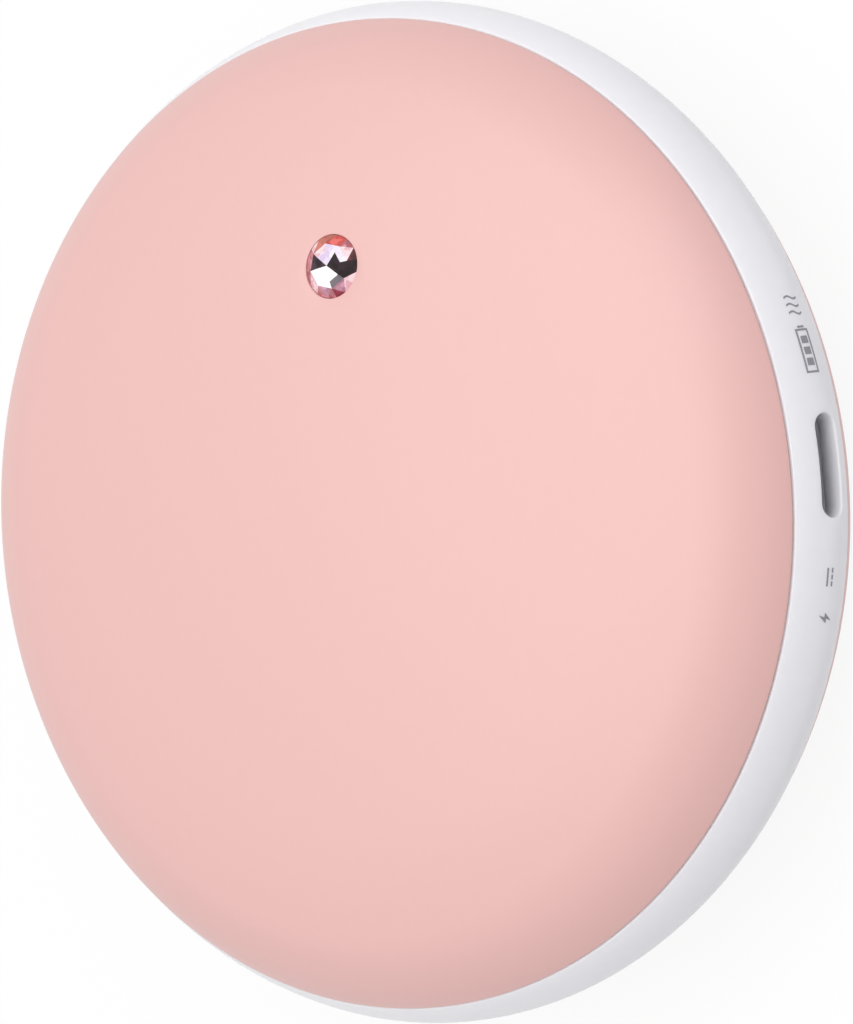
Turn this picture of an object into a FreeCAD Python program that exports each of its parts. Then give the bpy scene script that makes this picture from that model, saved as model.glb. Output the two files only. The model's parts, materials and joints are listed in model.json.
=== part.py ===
import FreeCAD, Part
import os
from math import acos, asin, cos, degrees, pi, radians, sin, sqrt

from FreeCAD import Vector

# A round pocket hand warmer that lies on its rear cover: +Z is the axis of the disc, towards the
# front cover, and +X points out through the charging port. Lengths are millimetres, angles degrees.

# Outline: one half is a chain of tangent arcs, and the angles are those of the surface's normal
# from the axis where one arc meets the next
BODY_DIAMETER = 88.0
NOSE_RADIUS = 4.0
FLANK_RADIUS = 12.5
SHOULDER_RADIUS = 45.0
NOSE_ANGLE = 75.0
FLANK_ANGLE = 20.0
SHOULDER_ANGLE = 8.5
REST_FLAT_RADIUS = 22.0

# Covers and the band between them
FRONT_SEAM_RISE = 4.24
REAR_SEAM_DROP = 2.28
SEAM_GAP = 0.22
COVER_WALL = 1.2
BAND_WALL = 1.6

# Web of the middle ring and the snap joint of the covers
WEB_TOP_DROP = 0.9
WEB_THICKNESS = 1.2
FRAME_CLEARANCE = 0.5
FRAME_WALL = 1.5
FRAME_LIFT = 0.3
BOND_GAP = 0.1
FILM_GAP = 0.05
HOOK_COUNT = 6
HOOK_FIRST_ANGLE = 30.0
HOOK_CLEARANCE = 0.4
HOOK_REACH = 0.9
HOOK_HEIGHT = 1.2
HOOK_SPAN = 5.2
HOOK_WALL = 1.3
HOOK_WALL_SPAN = 10.0
HOOK_WINDOW_MARGIN = 0.3
FRONT_HOOK_WALL_HEIGHT = 5.0
REAR_HOOK_WALL_HEIGHT = 3.6
FRONT_HOOK_RISE = 3.1
REAR_HOOK_DROP = 2.1

# Battery cell, its protection board and leads: the cell fills the room that the other pieces leave
CELL_CORNER = 3.0
CELL_EDGE = 1.2
CELL_CLEARANCE = 0.8
CELL_WINDOW_CLEARANCE = 0.3
PROTECTION_LENGTH = 16.0
PROTECTION_DEPTH = 3.4
PROTECTION_THICKNESS = 0.8
TAB_WIDTH = 4.0
TAB_THICKNESS = 0.2
TAB_LENGTH = 2.6
TAB_INSET = 0.5
TAB_PITCH = 6.0
LEAD_DIAMETER = 0.95
LEAD_CLEARANCE = 0.12
LEAD_RISE = 2.4
LEAD_BEND = 1.0
LEAD_LANDING = 2.0

# Tray below the cell and lid above it
TAPE_THICKNESS = 0.3
FOAM_THICKNESS = 0.4
PLATE_THICKNESS = 1.0
PLATE_MARGIN = 1.9
TRAY_GAP = 2.0
SHEET_MARGIN = 3.0
BOSS_DIAMETER = 4.2
BOSS_CLEARANCE = 0.2
BOARD_OPENING_MARGIN = 0.9
SCREW_DIAMETER = 1.5
SCREW_HOLE_DIAMETER = 1.6
SCREW_HEAD_DIAMETER = 3.0
SCREW_HEAD_HEIGHT = 0.9
SCREW_RECESS_DIAMETER = 1.2
SCREW_RECESS_DEPTH = 0.5
TRAY_SCREW_LENGTH = 3.6
LID_SCREW_LENGTH = 5.0
BOARD_SCREW_LENGTH = 3.6
SCREW_TIP_CLEARANCE = 0.3

# Heater films, their insulation and thermistors
HEATER_THICKNESS = 0.25
PAD_RADIUS = 25.5
PAD_THICKNESS = 2.0
SOLDER_RIM = 4.5
HEATER_LEAD_DIAMETER = 0.9
HEATER_LEAD_PITCH = 1.7
HEATER_LEAD_INSET = 1.4
HEATER_LEAD_BOW = 3.2
HEATER_LEAD_BEND = 1.1
BEAD_DIAMETER = 1.6
BEAD_INSET = 2.2
BEAD_ANGLE = -16.0
BEAD_LEAD_DIAMETER = 0.6
BEAD_LEAD_PITCH = 0.9
LEAD_KNEES = (0.3, 0.6, 0.85)

# Charging port: a reversible socket sunk in a notch of the main board
PORT_RISE = 0.45
PORT_SLOT_LENGTH = 8.6
PORT_SLOT_HEIGHT = 2.5
PORT_WALL = 1.75
PORT_CLEARANCE = 0.25
SHELL_WIDTH = 8.94
SHELL_HEIGHT = 3.26
SHELL_LENGTH = 7.35
SHELL_WALL = 0.3
SHELL_FOOT_LENGTH = 1.6
SHELL_FOOT_REACH = 1.0
TONGUE_WIDTH = 6.7
TONGUE_THICKNESS = 0.7
TONGUE_LENGTH = 4.9
TONGUE_BASE = 1.6
CONTACT_COUNT = 12
CONTACT_PITCH = 0.5
CONTACT_WIDTH = 0.25
CONTACT_LENGTH = 3.6
CONTACT_THICKNESS = 0.08
TONGUE_FIT = 0.02

# Main board and what is soldered to it
BOARD_THICKNESS = 1.0
BOARD_DEPTH = 9.0
BOARD_EDGE_CLEARANCE = 0.5
BOARD_SCREW_INSET = 2.1
CHARGE_CHIP_SIDE = 4.0
CHARGE_CHIP_HEIGHT = 0.8
CONTROL_CHIP_WIDTH = 3.9
CONTROL_CHIP_LENGTH = 4.9
CONTROL_CHIP_HEIGHT = 1.5
CONTROL_CHIP_PINS = 4
CONTROL_PIN_PITCH = 1.27
PIN_WIDTH = 0.42
CONTROL_PIN_REACH = 0.8
PIN_THICKNESS = 0.2
INDUCTOR_SIDE = 5.0
INDUCTOR_HEIGHT = 2.8
INDUCTOR_CHAMFER = 1.0
INDUCTOR_DISH_DIAMETER = 3.0
INDUCTOR_DISH_DEPTH = 0.4
CAPACITOR_LENGTH = 2.0
CAPACITOR_WIDTH = 1.25
CAPACITOR_COUNT = 3
CAPACITOR_PITCH = 2.6
TRANSISTOR_LENGTH = 2.9
TRANSISTOR_WIDTH = 1.3
TRANSISTOR_HEIGHT = 1.0
TRANSISTOR_LEG = 0.5
TRANSISTOR_PITCH = 1.9
PART_GAP = 0.7

# Power button: the jewel, its setting and the tact switch under it
JEWEL_DIAMETER = 5.5
JEWEL_ANGLE = 79.8
JEWEL_PLACE_RADIUS = 21.25
JEWEL_LEAN = 4.0
JEWEL_CLEARANCE = 0.15
JEWEL_FACETS = 8
JEWEL_TABLE_DIAMETER = 3.0
JEWEL_STAR_DIAMETER = 3.9
JEWEL_CROWN_HEIGHT = 1.0
JEWEL_GIRDLE_HEIGHT = 0.25
JEWEL_LEDGE = 0.35
JEWEL_PAVILION_DEPTH = 1.1
JEWEL_CULET_DIAMETER = 1.4
JEWEL_SINK = 0.1
JEWEL_CUP_GAP = 0.03
FLANGE_DIAMETER = 8.4
FLANGE_THICKNESS = 0.75
FLANGE_CLEARANCE = 0.15
HEATER_BUTTON_HOLE = 10.0
PAD_BUTTON_HOLE = 13.0
PRESS_TRAVEL = 0.3
PRESS_FOOT_DIAMETER = 2.4
PRESS_FOOT_LENGTH = 0.6
PRESS_GAP = 0.03
SWITCH_BOARD_LENGTH = 14.0
SWITCH_BOARD_WIDTH = 9.0
SWITCH_BOARD_THICKNESS = 0.8
SWITCH_BOARD_CORNER = 1.0
STAKE_DIAMETER = 1.4
STAKE_HEAD_DIAMETER = 2.2
STAKE_HEAD_HEIGHT = 0.6
STAKE_INSET = 1.6
STAKE_CLEARANCE = 0.1
SWITCH_SIDE = 4.2
SWITCH_HEIGHT = 1.5
SWITCH_WELL_DIAMETER = 3.3
DOME_ROOM = 0.35
SWITCH_COVER_THICKNESS = 0.15
PLUNGER_DIAMETER = 1.8
PLUNGER_FLANGE_DIAMETER = 2.6
PLUNGER_FLANGE_HEIGHT = 0.25
PLUNGER_RISE = 0.6
PLUNGER_CLEARANCE = 0.1
DOME_DIAMETER = 3.0
DOME_THICKNESS = 0.08
DOME_GAP = 0.04
LAMP_LENGTH = 1.6
LAMP_WIDTH = 0.8
LAMP_HEIGHT = 0.6
SWITCH_LEAD_DIAMETER = 0.8
SWITCH_LEAD_PITCH = 1.1
SWITCH_LEAD_COUNT = 3
SWITCH_LEAD_BEND = 2.0
SWITCH_LEAD_RUN = 3.0
SWITCH_LEAD_LANDING = 1.2

AXIS = Vector(0, 0, 1)
ORIGIN = Vector(0, 0, 0)
BODY_RADIUS = BODY_DIAMETER / 2
SWITCH_WELL_DEPTH = PLUNGER_CLEARANCE + PLUNGER_FLANGE_HEIGHT + PRESS_TRAVEL + DOME_ROOM

# How far a cutter, or a piece that is joined on, runs past the face that it meets
OVERLAP = WEB_THICKNESS / 5


# The outline

def direction(angle):
    """Radius and height parts of a unit normal at an angle from the axis."""
    return sin(radians(angle)), cos(radians(angle))


def outline_arcs():
    """Arcs of one half outline: centre radius, centre height, radius, first and last angle."""
    nose = (BODY_RADIUS - NOSE_RADIUS, 0.0)
    across, along = direction(NOSE_ANGLE)
    step = FLANK_RADIUS - NOSE_RADIUS
    flank = (nose[0] - step * across, nose[1] - step * along)
    across, along = direction(FLANK_ANGLE)
    step = SHOULDER_RADIUS - FLANK_RADIUS
    shoulder = (flank[0] - step * across, flank[1] - step * along)
    across, along = direction(SHOULDER_ANGLE)
    step = shoulder[0] / across
    crown = (0.0, shoulder[1] - step * along)
    return [
        (*crown, SHOULDER_RADIUS + step, 0.0, SHOULDER_ANGLE),
        (*shoulder, SHOULDER_RADIUS, SHOULDER_ANGLE, FLANK_ANGLE),
        (*flank, FLANK_RADIUS, FLANK_ANGLE, NOSE_ANGLE),
        (*nose, NOSE_RADIUS, NOSE_ANGLE, 90.0),
    ]


ARCS = outline_arcs()


def angle_at_radius(radius, inset=0.0):
    """Angle of the normal where the outline, moved inwards, is this far from the axis."""
    for centre_radius, _, arc_radius, _, last in ARCS:
        if radius <= centre_radius + (arc_radius - inset) * sin(radians(last)):
            break
    return degrees(asin((radius - centre_radius) / (arc_radius - inset)))


def angle_at_height(height, inset=0.0):
    """Angle of the normal where the outline, moved inwards, is this far from the widest plane."""
    for _, centre_height, arc_radius, _, last in ARCS:
        if height >= centre_height + (arc_radius - inset) * cos(radians(last)):
            break
    return degrees(acos((height - centre_height) / (arc_radius - inset)))


def outline_place(angle, inset=0.0):
    """Radius and height of the outline, moved inwards, where its normal has this angle."""
    for centre_radius, centre_height, arc_radius, _, last in ARCS:
        if angle <= last:
            break
    across, along = direction(angle)
    reach = arc_radius - inset
    return centre_radius + reach * across, centre_height + reach * along


def outline_height(radius, inset=0.0):
    """Height of the outline, moved inwards, above the widest plane at this radius."""
    return outline_place(angle_at_radius(radius, inset), inset)[1]


# The widest plane stands above the rest flat by the depth of the rear half
EQUATOR = outline_height(REST_FLAT_RADIUS)


def outline_point(side, angle, inset=0.0):
    """Point of the front (side 1) or rear (side -1) outline in the XZ plane."""
    radius, height = outline_place(angle, inset)
    return Vector(radius, 0, EQUATOR + side * height)


def outline_edges(side, start, end, inset=0.0):
    """Arcs of one half outline, moved inwards, from one angle to another."""
    low, high = min(start, end), max(start, end)
    edges = []
    for _, _, _, first, last in ARCS:
        begin, finish = max(first, low), min(last, high)
        if finish - begin < 1e-6:
            continue
        angles = (begin, (begin + finish) / 2, finish)
        edges.append(Part.Arc(*[outline_point(side, angle, inset) for angle in angles]).toShape())
    return edges if start < end else edges[::-1]


def line(start, end):
    return Part.LineSegment(start, end).toShape()


def flat_end_angle(inset):
    """Angle where the rear crown, moved inwards, meets the rest flat moved in as far."""
    _, centre_height, arc_radius, _, _ = ARCS[0]
    return degrees(acos((EQUATOR - inset - centre_height) / (arc_radius - inset)))


def axis_point(side, inset):
    """Where the front crown or the rest flat, moved inwards, crosses the axis."""
    return outline_point(side, 0.0, inset) if side > 0 else Vector(0, 0, inset)


def cap_edges(side, end_angle, inset):
    """Outline of a front or rear cap from the axis to an angle."""
    if side > 0:
        return outline_edges(side, 0.0, end_angle, inset)
    start = flat_end_angle(inset)
    flat = line(axis_point(side, inset), outline_point(side, start, inset))
    return [flat] + outline_edges(side, start, end_angle, inset)


def revolved(edges):
    """Solid of revolution about the axis from the edges of a closed outline."""
    wire = Part.Wire(Part.__sortEdges__(edges))
    return Part.Face(wire).revolve(ORIGIN, AXIS, 360)


def cap_shell(side, outer_inset, inner_inset, outer_end, inner_end):
    """Shell between two inward offsets of the front or rear outline."""
    outer = cap_edges(side, outer_end, outer_inset)
    inner = cap_edges(side, inner_end, inner_inset)
    middle = line(axis_point(side, inner_inset), axis_point(side, outer_inset))
    rim = line(outline_point(side, outer_end, outer_inset), outline_point(side, inner_end, inner_inset))
    return revolved(outer + inner + [middle, rim])


# Small helpers for plain solids

def box(x_range, y_range, z_range):
    size = [high - low for low, high in (x_range, y_range, z_range)]
    return Part.makeBox(*size, Vector(x_range[0], y_range[0], z_range[0]))


def cylinder(diameter, place, low, high):
    return Part.makeCylinder(diameter / 2, high - low, Vector(place[0], place[1], low))


def tube_sector(inner, outer, low, high, middle, span):
    """Stretch of a round wall, as wide as its span in degrees, about a middle angle."""
    corners = [Vector(inner, 0, low), Vector(outer, 0, low), Vector(outer, 0, high), Vector(inner, 0, high)]
    face = Part.Face(Part.makePolygon(corners + corners[:1]))
    sector = face.revolve(ORIGIN, AXIS, span)
    sector.rotate(ORIGIN, AXIS, middle - span / 2)
    return sector


def upright_edges(solid):
    """Straight edges of a box that run along the axis."""
    extents = [(edge, edge.BoundBox) for edge in solid.Edges]
    return [edge for edge, extent in extents if extent.XLength + extent.YLength < extent.ZLength]


def rounded_box(x_range, y_range, z_range, corner):
    """Box with its four upright edges rounded."""
    solid = box(x_range, y_range, z_range)
    return solid.makeFillet(corner, upright_edges(solid))


def pill(width, height, x_range, z_middle):
    """Bar along X with a section rounded to half circles at its two sides."""
    radius = height / 2
    reach = width / 2 - radius
    length = x_range[1] - x_range[0]
    solid = box(x_range, (-reach, reach), (z_middle - radius, z_middle + radius))
    for side in (-1, 1):
        end = Part.makeCylinder(radius, length, Vector(x_range[0], side * reach, z_middle), Vector(1, 0, 0))
        solid = solid.fuse(end)
    return solid.removeSplitter()


def lead_path(points, bends):
    """Straight runs through the points, with a tangent arc of the given radius at each inner point."""
    edges = []
    start = points[0]
    for before, corner, after, bend in zip(points, points[1:], points[2:], bends):
        back = (before - corner).normalize()
        ahead = (after - corner).normalize()
        half_turn = back.getAngle(ahead) / 2
        reach = bend / sin(half_turn) * cos(half_turn)
        middle = (back + ahead).normalize()
        arc_start = corner + back * reach
        arc_end = corner + ahead * reach
        arc_middle = corner + middle * (bend / sin(half_turn) - bend)
        edges.append(line(start, arc_start))
        edges.append(Part.Arc(arc_start, arc_middle, arc_end).toShape())
        start = arc_end
    edges.append(line(start, points[-1]))
    return Part.Wire(edges)


def lead(points, bends, diameter):
    """Round insulated wire along a path of runs and arcs."""
    path = lead_path(points, bends)
    section = Part.Wire(Part.Circle(points[0], points[1] - points[0], diameter / 2).toShape())
    solid = path.makePipeShell([section], True, False)
    if solid.Volume < 0:
        solid.reverse()
    expected = pi * diameter ** 2 / 4 * path.Length
    print("lead of %.1f mm, volume over section times length %.4f" % (path.Length, solid.Volume / expected))
    return solid


def screw(place, seat, length, up):
    """Pan-head screw with its head on a seat, its shank running down (up = 1) or up (up = -1)."""
    x, y = place
    shank = Part.makeCylinder(SCREW_DIAMETER / 2, length, Vector(x, y, seat), AXIS * -up)
    head = Part.makeCylinder(SCREW_HEAD_DIAMETER / 2, SCREW_HEAD_HEIGHT, Vector(x, y, seat), AXIS * up)
    rim = max(head.Edges, key=lambda edge: up * edge.CenterOfMass.z)
    head = head.makeFillet(SCREW_HEAD_HEIGHT / 2, [rim])
    top = Vector(x, y, seat + up * (SCREW_HEAD_HEIGHT - SCREW_RECESS_DEPTH))
    recess = Part.makeCylinder(SCREW_RECESS_DIAMETER / 2, SCREW_HEAD_HEIGHT, top, AXIS * up)
    return shank.fuse(head).cut(recess).removeSplitter()


# Places worked out from the sizes above

FRONT_SEAM = EQUATOR + FRONT_SEAM_RISE
REAR_SEAM = EQUATOR - REAR_SEAM_DROP
BAND_INNER = outline_place(angle_at_height(FRONT_SEAM_RISE))[0] - BAND_WALL
WEB_TOP = EQUATOR - WEB_TOP_DROP
WEB_BOTTOM = WEB_TOP - WEB_THICKNESS
FRAME_OUTER = BAND_INNER - FRAME_CLEARANCE
FRAME_INNER = FRAME_OUTER - FRAME_WALL
HOOK_WALL_OUTER = FRAME_INNER - HOOK_CLEARANCE
HOOK_WALL_INNER = HOOK_WALL_OUTER - HOOK_WALL
HOOK_ANGLES = [HOOK_FIRST_ANGLE + 360.0 / HOOK_COUNT * k for k in range(HOOK_COUNT)]
FRONT_HOOK = WEB_TOP + FRONT_HOOK_RISE
REAR_HOOK = WEB_BOTTOM - REAR_HOOK_DROP

# Along X: the socket reaches inwards from the band, then come the board and the leads beside the cell
PORT_HEIGHT = EQUATOR + PORT_RISE
PORT_FACE = outline_place(angle_at_height(PORT_RISE))[0]
SHELL_MOUTH = PORT_FACE - PORT_WALL - PORT_CLEARANCE / 2
SHELL_BACK = SHELL_MOUTH - SHELL_LENGTH
NOTCH_BACK = SHELL_BACK - PORT_CLEARANCE
NOTCH_HALF = SHELL_WIDTH / 2 + PORT_CLEARANCE
BOARD_BACK = NOTCH_BACK - BOARD_DEPTH
LEAD_STEP = LEAD_DIAMETER + LEAD_CLEARANCE
INNER_LEAD_OFFSET = LEAD_CLEARANCE + LEAD_DIAMETER / 2
OUTER_LEAD_OFFSET = INNER_LEAD_OFFSET + LEAD_STEP
LEAD_ROOM = OUTER_LEAD_OFFSET + LEAD_DIAMETER / 2 + LEAD_CLEARANCE

# The jewel stands in the front cover, and the switch is straight below it
BUTTON = (JEWEL_PLACE_RADIUS * cos(radians(JEWEL_ANGLE)), JEWEL_PLACE_RADIUS * sin(radians(JEWEL_ANGLE)))
GIRDLE_HEIGHT = EQUATOR + outline_height(JEWEL_PLACE_RADIUS) - JEWEL_SINK
FLANGE_TOP = (EQUATOR + outline_height(JEWEL_PLACE_RADIUS + FLANGE_DIAMETER / 2, COVER_WALL)
              - FLANGE_CLEARANCE)
FLANGE_BOTTOM = FLANGE_TOP - FLANGE_THICKNESS
PLUNGER_TOP = FLANGE_BOTTOM - PRESS_FOOT_LENGTH - PRESS_GAP
SWITCH_TOP = PLUNGER_TOP - PLUNGER_RISE - SWITCH_COVER_THICKNESS
SWITCH_BOARD_TOP = SWITCH_TOP - SWITCH_HEIGHT
STAKE_PLACES = [(BUTTON[0] + side * (SWITCH_BOARD_LENGTH / 2 - STAKE_INSET), BUTTON[1]) for side in (-1, 1)]

# In plan the main board ends at the hook walls, and the bosses of the plates stand beside it
BOARD_RADIUS = FRAME_INNER - BOARD_EDGE_CLEARANCE
BOARD_HALF_LENGTH = (HOOK_WALL_INNER * sin(radians(HOOK_FIRST_ANGLE - HOOK_WALL_SPAN / 2))
                     - BOARD_EDGE_CLEARANCE)
BOSS_X = BOARD_BACK + BOSS_CLEARANCE + BOSS_DIAMETER / 2
BOARD_OPENING_HALF = BOARD_HALF_LENGTH + BOARD_OPENING_MARGIN
BOSS_Y = BOARD_OPENING_HALF + BOSS_CLEARANCE + SCREW_HEAD_DIAMETER / 2 + BOARD_EDGE_CLEARANCE
BOSS_PLACES = [(x * BOSS_X, y * BOSS_Y) for x in (-1, 1) for y in (-1, 1)]
SCREW_HEAD_REACH = sqrt(BOSS_X ** 2 + BOSS_Y ** 2) + SCREW_HEAD_DIAMETER / 2

# Along Z: the lid hangs below the switch board, and the tray stands clear of the rear pad and holds its
# screw heads clear of the rear cover, with the cell between the two
HEATER_INSET = COVER_WALL + FILM_GAP
PAD_INSET = HEATER_INSET + HEATER_THICKNESS + FILM_GAP
LID_TOP = SWITCH_BOARD_TOP - SWITCH_BOARD_THICKNESS
LID_BOTTOM = LID_TOP - PLATE_THICKNESS
SCREW_HEAD_ROOM = SCREW_HEAD_HEIGHT + SCREW_TIP_CLEARANCE
TRAY_BOTTOM = max(PAD_INSET + PAD_THICKNESS + TRAY_GAP,
                  EQUATOR - outline_height(SCREW_HEAD_REACH, COVER_WALL) + SCREW_HEAD_ROOM)
TRAY_TOP = TRAY_BOTTOM + PLATE_THICKNESS
PLATE_RADIUS = FRAME_INNER - PLATE_MARGIN
CELL_TOP = LID_BOTTOM - FOAM_THICKNESS
CELL_BOTTOM = TRAY_TOP + TAPE_THICKNESS

# In plan the cell reaches from lead to lead along X, and its corners reach to the hook walls
CELL_REACH = HOOK_WALL_INNER - CELL_CLEARANCE
CELL_HALF_WIDTH = BOARD_BACK - LEAD_ROOM
CELL_HALF_LENGTH = CELL_CORNER + sqrt((CELL_REACH - CELL_CORNER) ** 2 - (CELL_HALF_WIDTH - CELL_CORNER) ** 2)

BOARD_BOTTOM = WEB_TOP
BOARD_TOP = BOARD_BOTTOM + BOARD_THICKNESS
BOARD_SCREW_X = BOARD_BACK + BOARD_SCREW_INSET
BOARD_SCREW_Y = BOARD_HALF_LENGTH - BOARD_SCREW_INSET
BOARD_SCREW_PLACES = [(BOARD_SCREW_X, side * BOARD_SCREW_Y) for side in (-1, 1)]

# Leads to the heaters leave the board in one row along its inner edge, and land on the film's bare rim
HEATER_RADIUS = PAD_RADIUS + SOLDER_RIM
HEATER_LEAD_X = BOARD_BACK + HEATER_LEAD_INSET
HEATER_LEAD_YS = [-HEATER_LEAD_PITCH * (k + 0.5) for k in range(2)]
HEATER_LEAD_FAR = HEATER_RADIUS - HEATER_LEAD_INSET
BEAD_RADIUS = HEATER_RADIUS - BEAD_INSET
BEAD_PLACE = (BEAD_RADIUS * cos(radians(BEAD_ANGLE)), BEAD_RADIUS * sin(radians(BEAD_ANGLE)))
BEAD_LEAD_YS = [HEATER_LEAD_YS[-1] - HEATER_LEAD_PITCH - BEAD_LEAD_PITCH * k for k in range(2)]
LEAD_WINDOW_Y = (BEAD_LEAD_YS[-1] - HEATER_LEAD_PITCH, HEATER_LEAD_PITCH)
LEAD_WINDOW_X = (BOARD_BACK + BOARD_EDGE_CLEARANCE, BOARD_BACK + BOARD_EDGE_CLEARANCE + 2 * HEATER_LEAD_INSET)


# Covers and ring

def button_hole(diameter):
    """Upright hole through the front cover's layers over the switch."""
    return cylinder(diameter, BUTTON, EQUATOR, EQUATOR + outline_height(0.0) + COVER_WALL)


def cover(side, seam):
    """Domed shell whose rim ends level at its side of a seam."""
    rim = abs(seam - EQUATOR) + SEAM_GAP / 2
    return cap_shell(side, 0.0, COVER_WALL, angle_at_height(rim), angle_at_height(rim, COVER_WALL))


def front_cover():
    return cover(1, FRONT_SEAM).cut(button_hole(JEWEL_DIAMETER + 2 * JEWEL_CLEARANCE))


def rear_cover():
    return cover(-1, REAR_SEAM)


def ring_band():
    """The visible band: the outline between the two seams, with a straight bore."""
    top, bottom = FRONT_SEAM - SEAM_GAP / 2, REAR_SEAM + SEAM_GAP / 2
    top_angle = angle_at_height(top - EQUATOR)
    bottom_angle = angle_at_height(EQUATOR - bottom)
    top_inner, bottom_inner = Vector(BAND_INNER, 0, top), Vector(BAND_INNER, 0, bottom)
    edges = outline_edges(1, top_angle, 90.0) + outline_edges(-1, 90.0, bottom_angle)
    edges.append(line(top_inner, outline_point(1, top_angle)))
    edges.append(line(bottom_inner, outline_point(-1, bottom_angle)))
    edges.append(line(top_inner, bottom_inner))
    return revolved(edges)


def cell_window():
    """Opening of the web round the cell."""
    half_width = CELL_HALF_WIDTH + CELL_WINDOW_CLEARANCE
    half_length = CELL_HALF_LENGTH + CELL_WINDOW_CLEARANCE
    return rounded_box((-half_width, half_width), (-half_length, half_length),
                       (WEB_BOTTOM - OVERLAP, WEB_TOP + OVERLAP), CELL_CORNER + CELL_WINDOW_CLEARANCE)


def middle_ring():
    web = cylinder(2 * (BAND_INNER + OVERLAP), (0, 0), WEB_BOTTOM, WEB_TOP).cut(cell_window())
    ring = ring_band().fuse(web)
    added = []
    holes = []
    for angle in HOOK_ANGLES:
        added.append(tube_sector(HOOK_WALL_INNER, HOOK_WALL_OUTER, WEB_TOP - OVERLAP,
                                 WEB_TOP + FRONT_HOOK_WALL_HEIGHT, angle, HOOK_WALL_SPAN))
        added.append(tube_sector(HOOK_WALL_INNER, HOOK_WALL_OUTER, WEB_BOTTOM - REAR_HOOK_WALL_HEIGHT,
                                 WEB_BOTTOM + OVERLAP, angle, HOOK_WALL_SPAN))
        for middle in (FRONT_HOOK, REAR_HOOK):
            half_height = HOOK_HEIGHT / 2 + HOOK_WINDOW_MARGIN
            span = HOOK_SPAN + degrees(2 * HOOK_WINDOW_MARGIN / HOOK_WALL_INNER)
            holes.append(tube_sector(HOOK_WALL_INNER - OVERLAP, HOOK_WALL_OUTER + OVERLAP,
                                     middle - half_height, middle + half_height, angle, span))
    for place in BOSS_PLACES:
        added.append(cylinder(BOSS_DIAMETER, place, TRAY_TOP, LID_BOTTOM))
        lid_depth = LID_SCREW_LENGTH - PLATE_THICKNESS + SCREW_TIP_CLEARANCE
        tray_depth = TRAY_SCREW_LENGTH - PLATE_THICKNESS + SCREW_TIP_CLEARANCE
        holes.append(cylinder(SCREW_HOLE_DIAMETER, place, LID_BOTTOM - lid_depth, LID_BOTTOM + OVERLAP))
        holes.append(cylinder(SCREW_HOLE_DIAMETER, place, TRAY_TOP - OVERLAP, TRAY_TOP + tray_depth))
    for place in BOARD_SCREW_PLACES:
        depth = BOARD_SCREW_LENGTH - BOARD_THICKNESS + SCREW_TIP_CLEARANCE
        added.append(cylinder(BOSS_DIAMETER, place, WEB_TOP - depth - WEB_THICKNESS, WEB_BOTTOM + OVERLAP))
        holes.append(cylinder(SCREW_HOLE_DIAMETER, place, WEB_TOP - depth, WEB_TOP + OVERLAP))
    holes.append(box(LEAD_WINDOW_X, LEAD_WINDOW_Y, (WEB_BOTTOM - OVERLAP, WEB_TOP + OVERLAP)))
    holes.append(box((NOTCH_BACK, BAND_INNER + OVERLAP), (-NOTCH_HALF, NOTCH_HALF),
                     (WEB_BOTTOM - OVERLAP, WEB_TOP + OVERLAP)))
    pocket_half = SHELL_HEIGHT / 2 + PORT_CLEARANCE
    holes.append(box((FRAME_INNER, PORT_FACE - PORT_WALL), (-NOTCH_HALF, NOTCH_HALF),
                     (PORT_HEIGHT - pocket_half, PORT_HEIGHT + pocket_half)))
    holes.append(pill(PORT_SLOT_LENGTH, PORT_SLOT_HEIGHT, (FRAME_INNER, BODY_RADIUS + PORT_WALL),
                      PORT_HEIGHT))
    return ring.multiFuse(added).cut(Part.makeCompound(holes)).removeSplitter()


def snap_frame(side, start, hook_middle):
    """Ring bonded under a cover's rim, with hooks that point inwards to the windows of the hook walls."""
    inset = COVER_WALL + BOND_GAP
    outer_angle = angle_at_radius(FRAME_OUTER, inset)
    inner_angle = angle_at_radius(FRAME_INNER, inset)
    start_inner, start_outer = Vector(FRAME_INNER, 0, start), Vector(FRAME_OUTER, 0, start)
    edges = outline_edges(side, inner_angle, outer_angle, inset)
    edges.append(line(start_inner, start_outer))
    edges.append(line(start_outer, outline_point(side, outer_angle, inset)))
    edges.append(line(start_inner, outline_point(side, inner_angle, inset)))
    frame = revolved(edges)
    catch = hook_middle - side * HOOK_HEIGHT / 2
    root = hook_middle + side * HOOK_HEIGHT / 2
    hooks = []
    for angle in HOOK_ANGLES:
        corners = [
            Vector(FRAME_INNER + OVERLAP, 0, root),
            Vector(FRAME_INNER - HOOK_REACH, 0, root),
            Vector(FRAME_INNER + OVERLAP, 0, catch),
        ]
        hook = Part.Face(Part.makePolygon(corners + corners[:1])).revolve(ORIGIN, AXIS, HOOK_SPAN)
        hook.rotate(ORIGIN, AXIS, angle - HOOK_SPAN / 2)
        hooks.append(hook)
    return frame.multiFuse(hooks).removeSplitter()


def front_snap_frame():
    frame = snap_frame(1, WEB_TOP + FRAME_LIFT, FRONT_HOOK)
    half = NOTCH_HALF + PORT_CLEARANCE
    top = PORT_HEIGHT + SHELL_HEIGHT / 2 + PORT_CLEARANCE
    return frame.cut(box((0, BODY_RADIUS), (-half, half), (WEB_BOTTOM, top)))


def rear_snap_frame():
    return snap_frame(-1, WEB_BOTTOM - FRAME_LIFT, REAR_HOOK)


# Heaters

def lining(side, near_inset, thickness, radius):
    """Film or pad that follows the inside of a cover and is trimmed round at a radius."""
    sheet = cap_shell(side, near_inset, near_inset + thickness, NOSE_ANGLE, NOSE_ANGLE)
    return sheet.common(cylinder(2 * radius, (0, 0), 0.0, EQUATOR + outline_height(0.0)))


def front_heater():
    return lining(1, HEATER_INSET, HEATER_THICKNESS, HEATER_RADIUS).cut(button_hole(HEATER_BUTTON_HOLE))


def rear_heater():
    return lining(-1, HEATER_INSET, HEATER_THICKNESS, HEATER_RADIUS)


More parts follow.
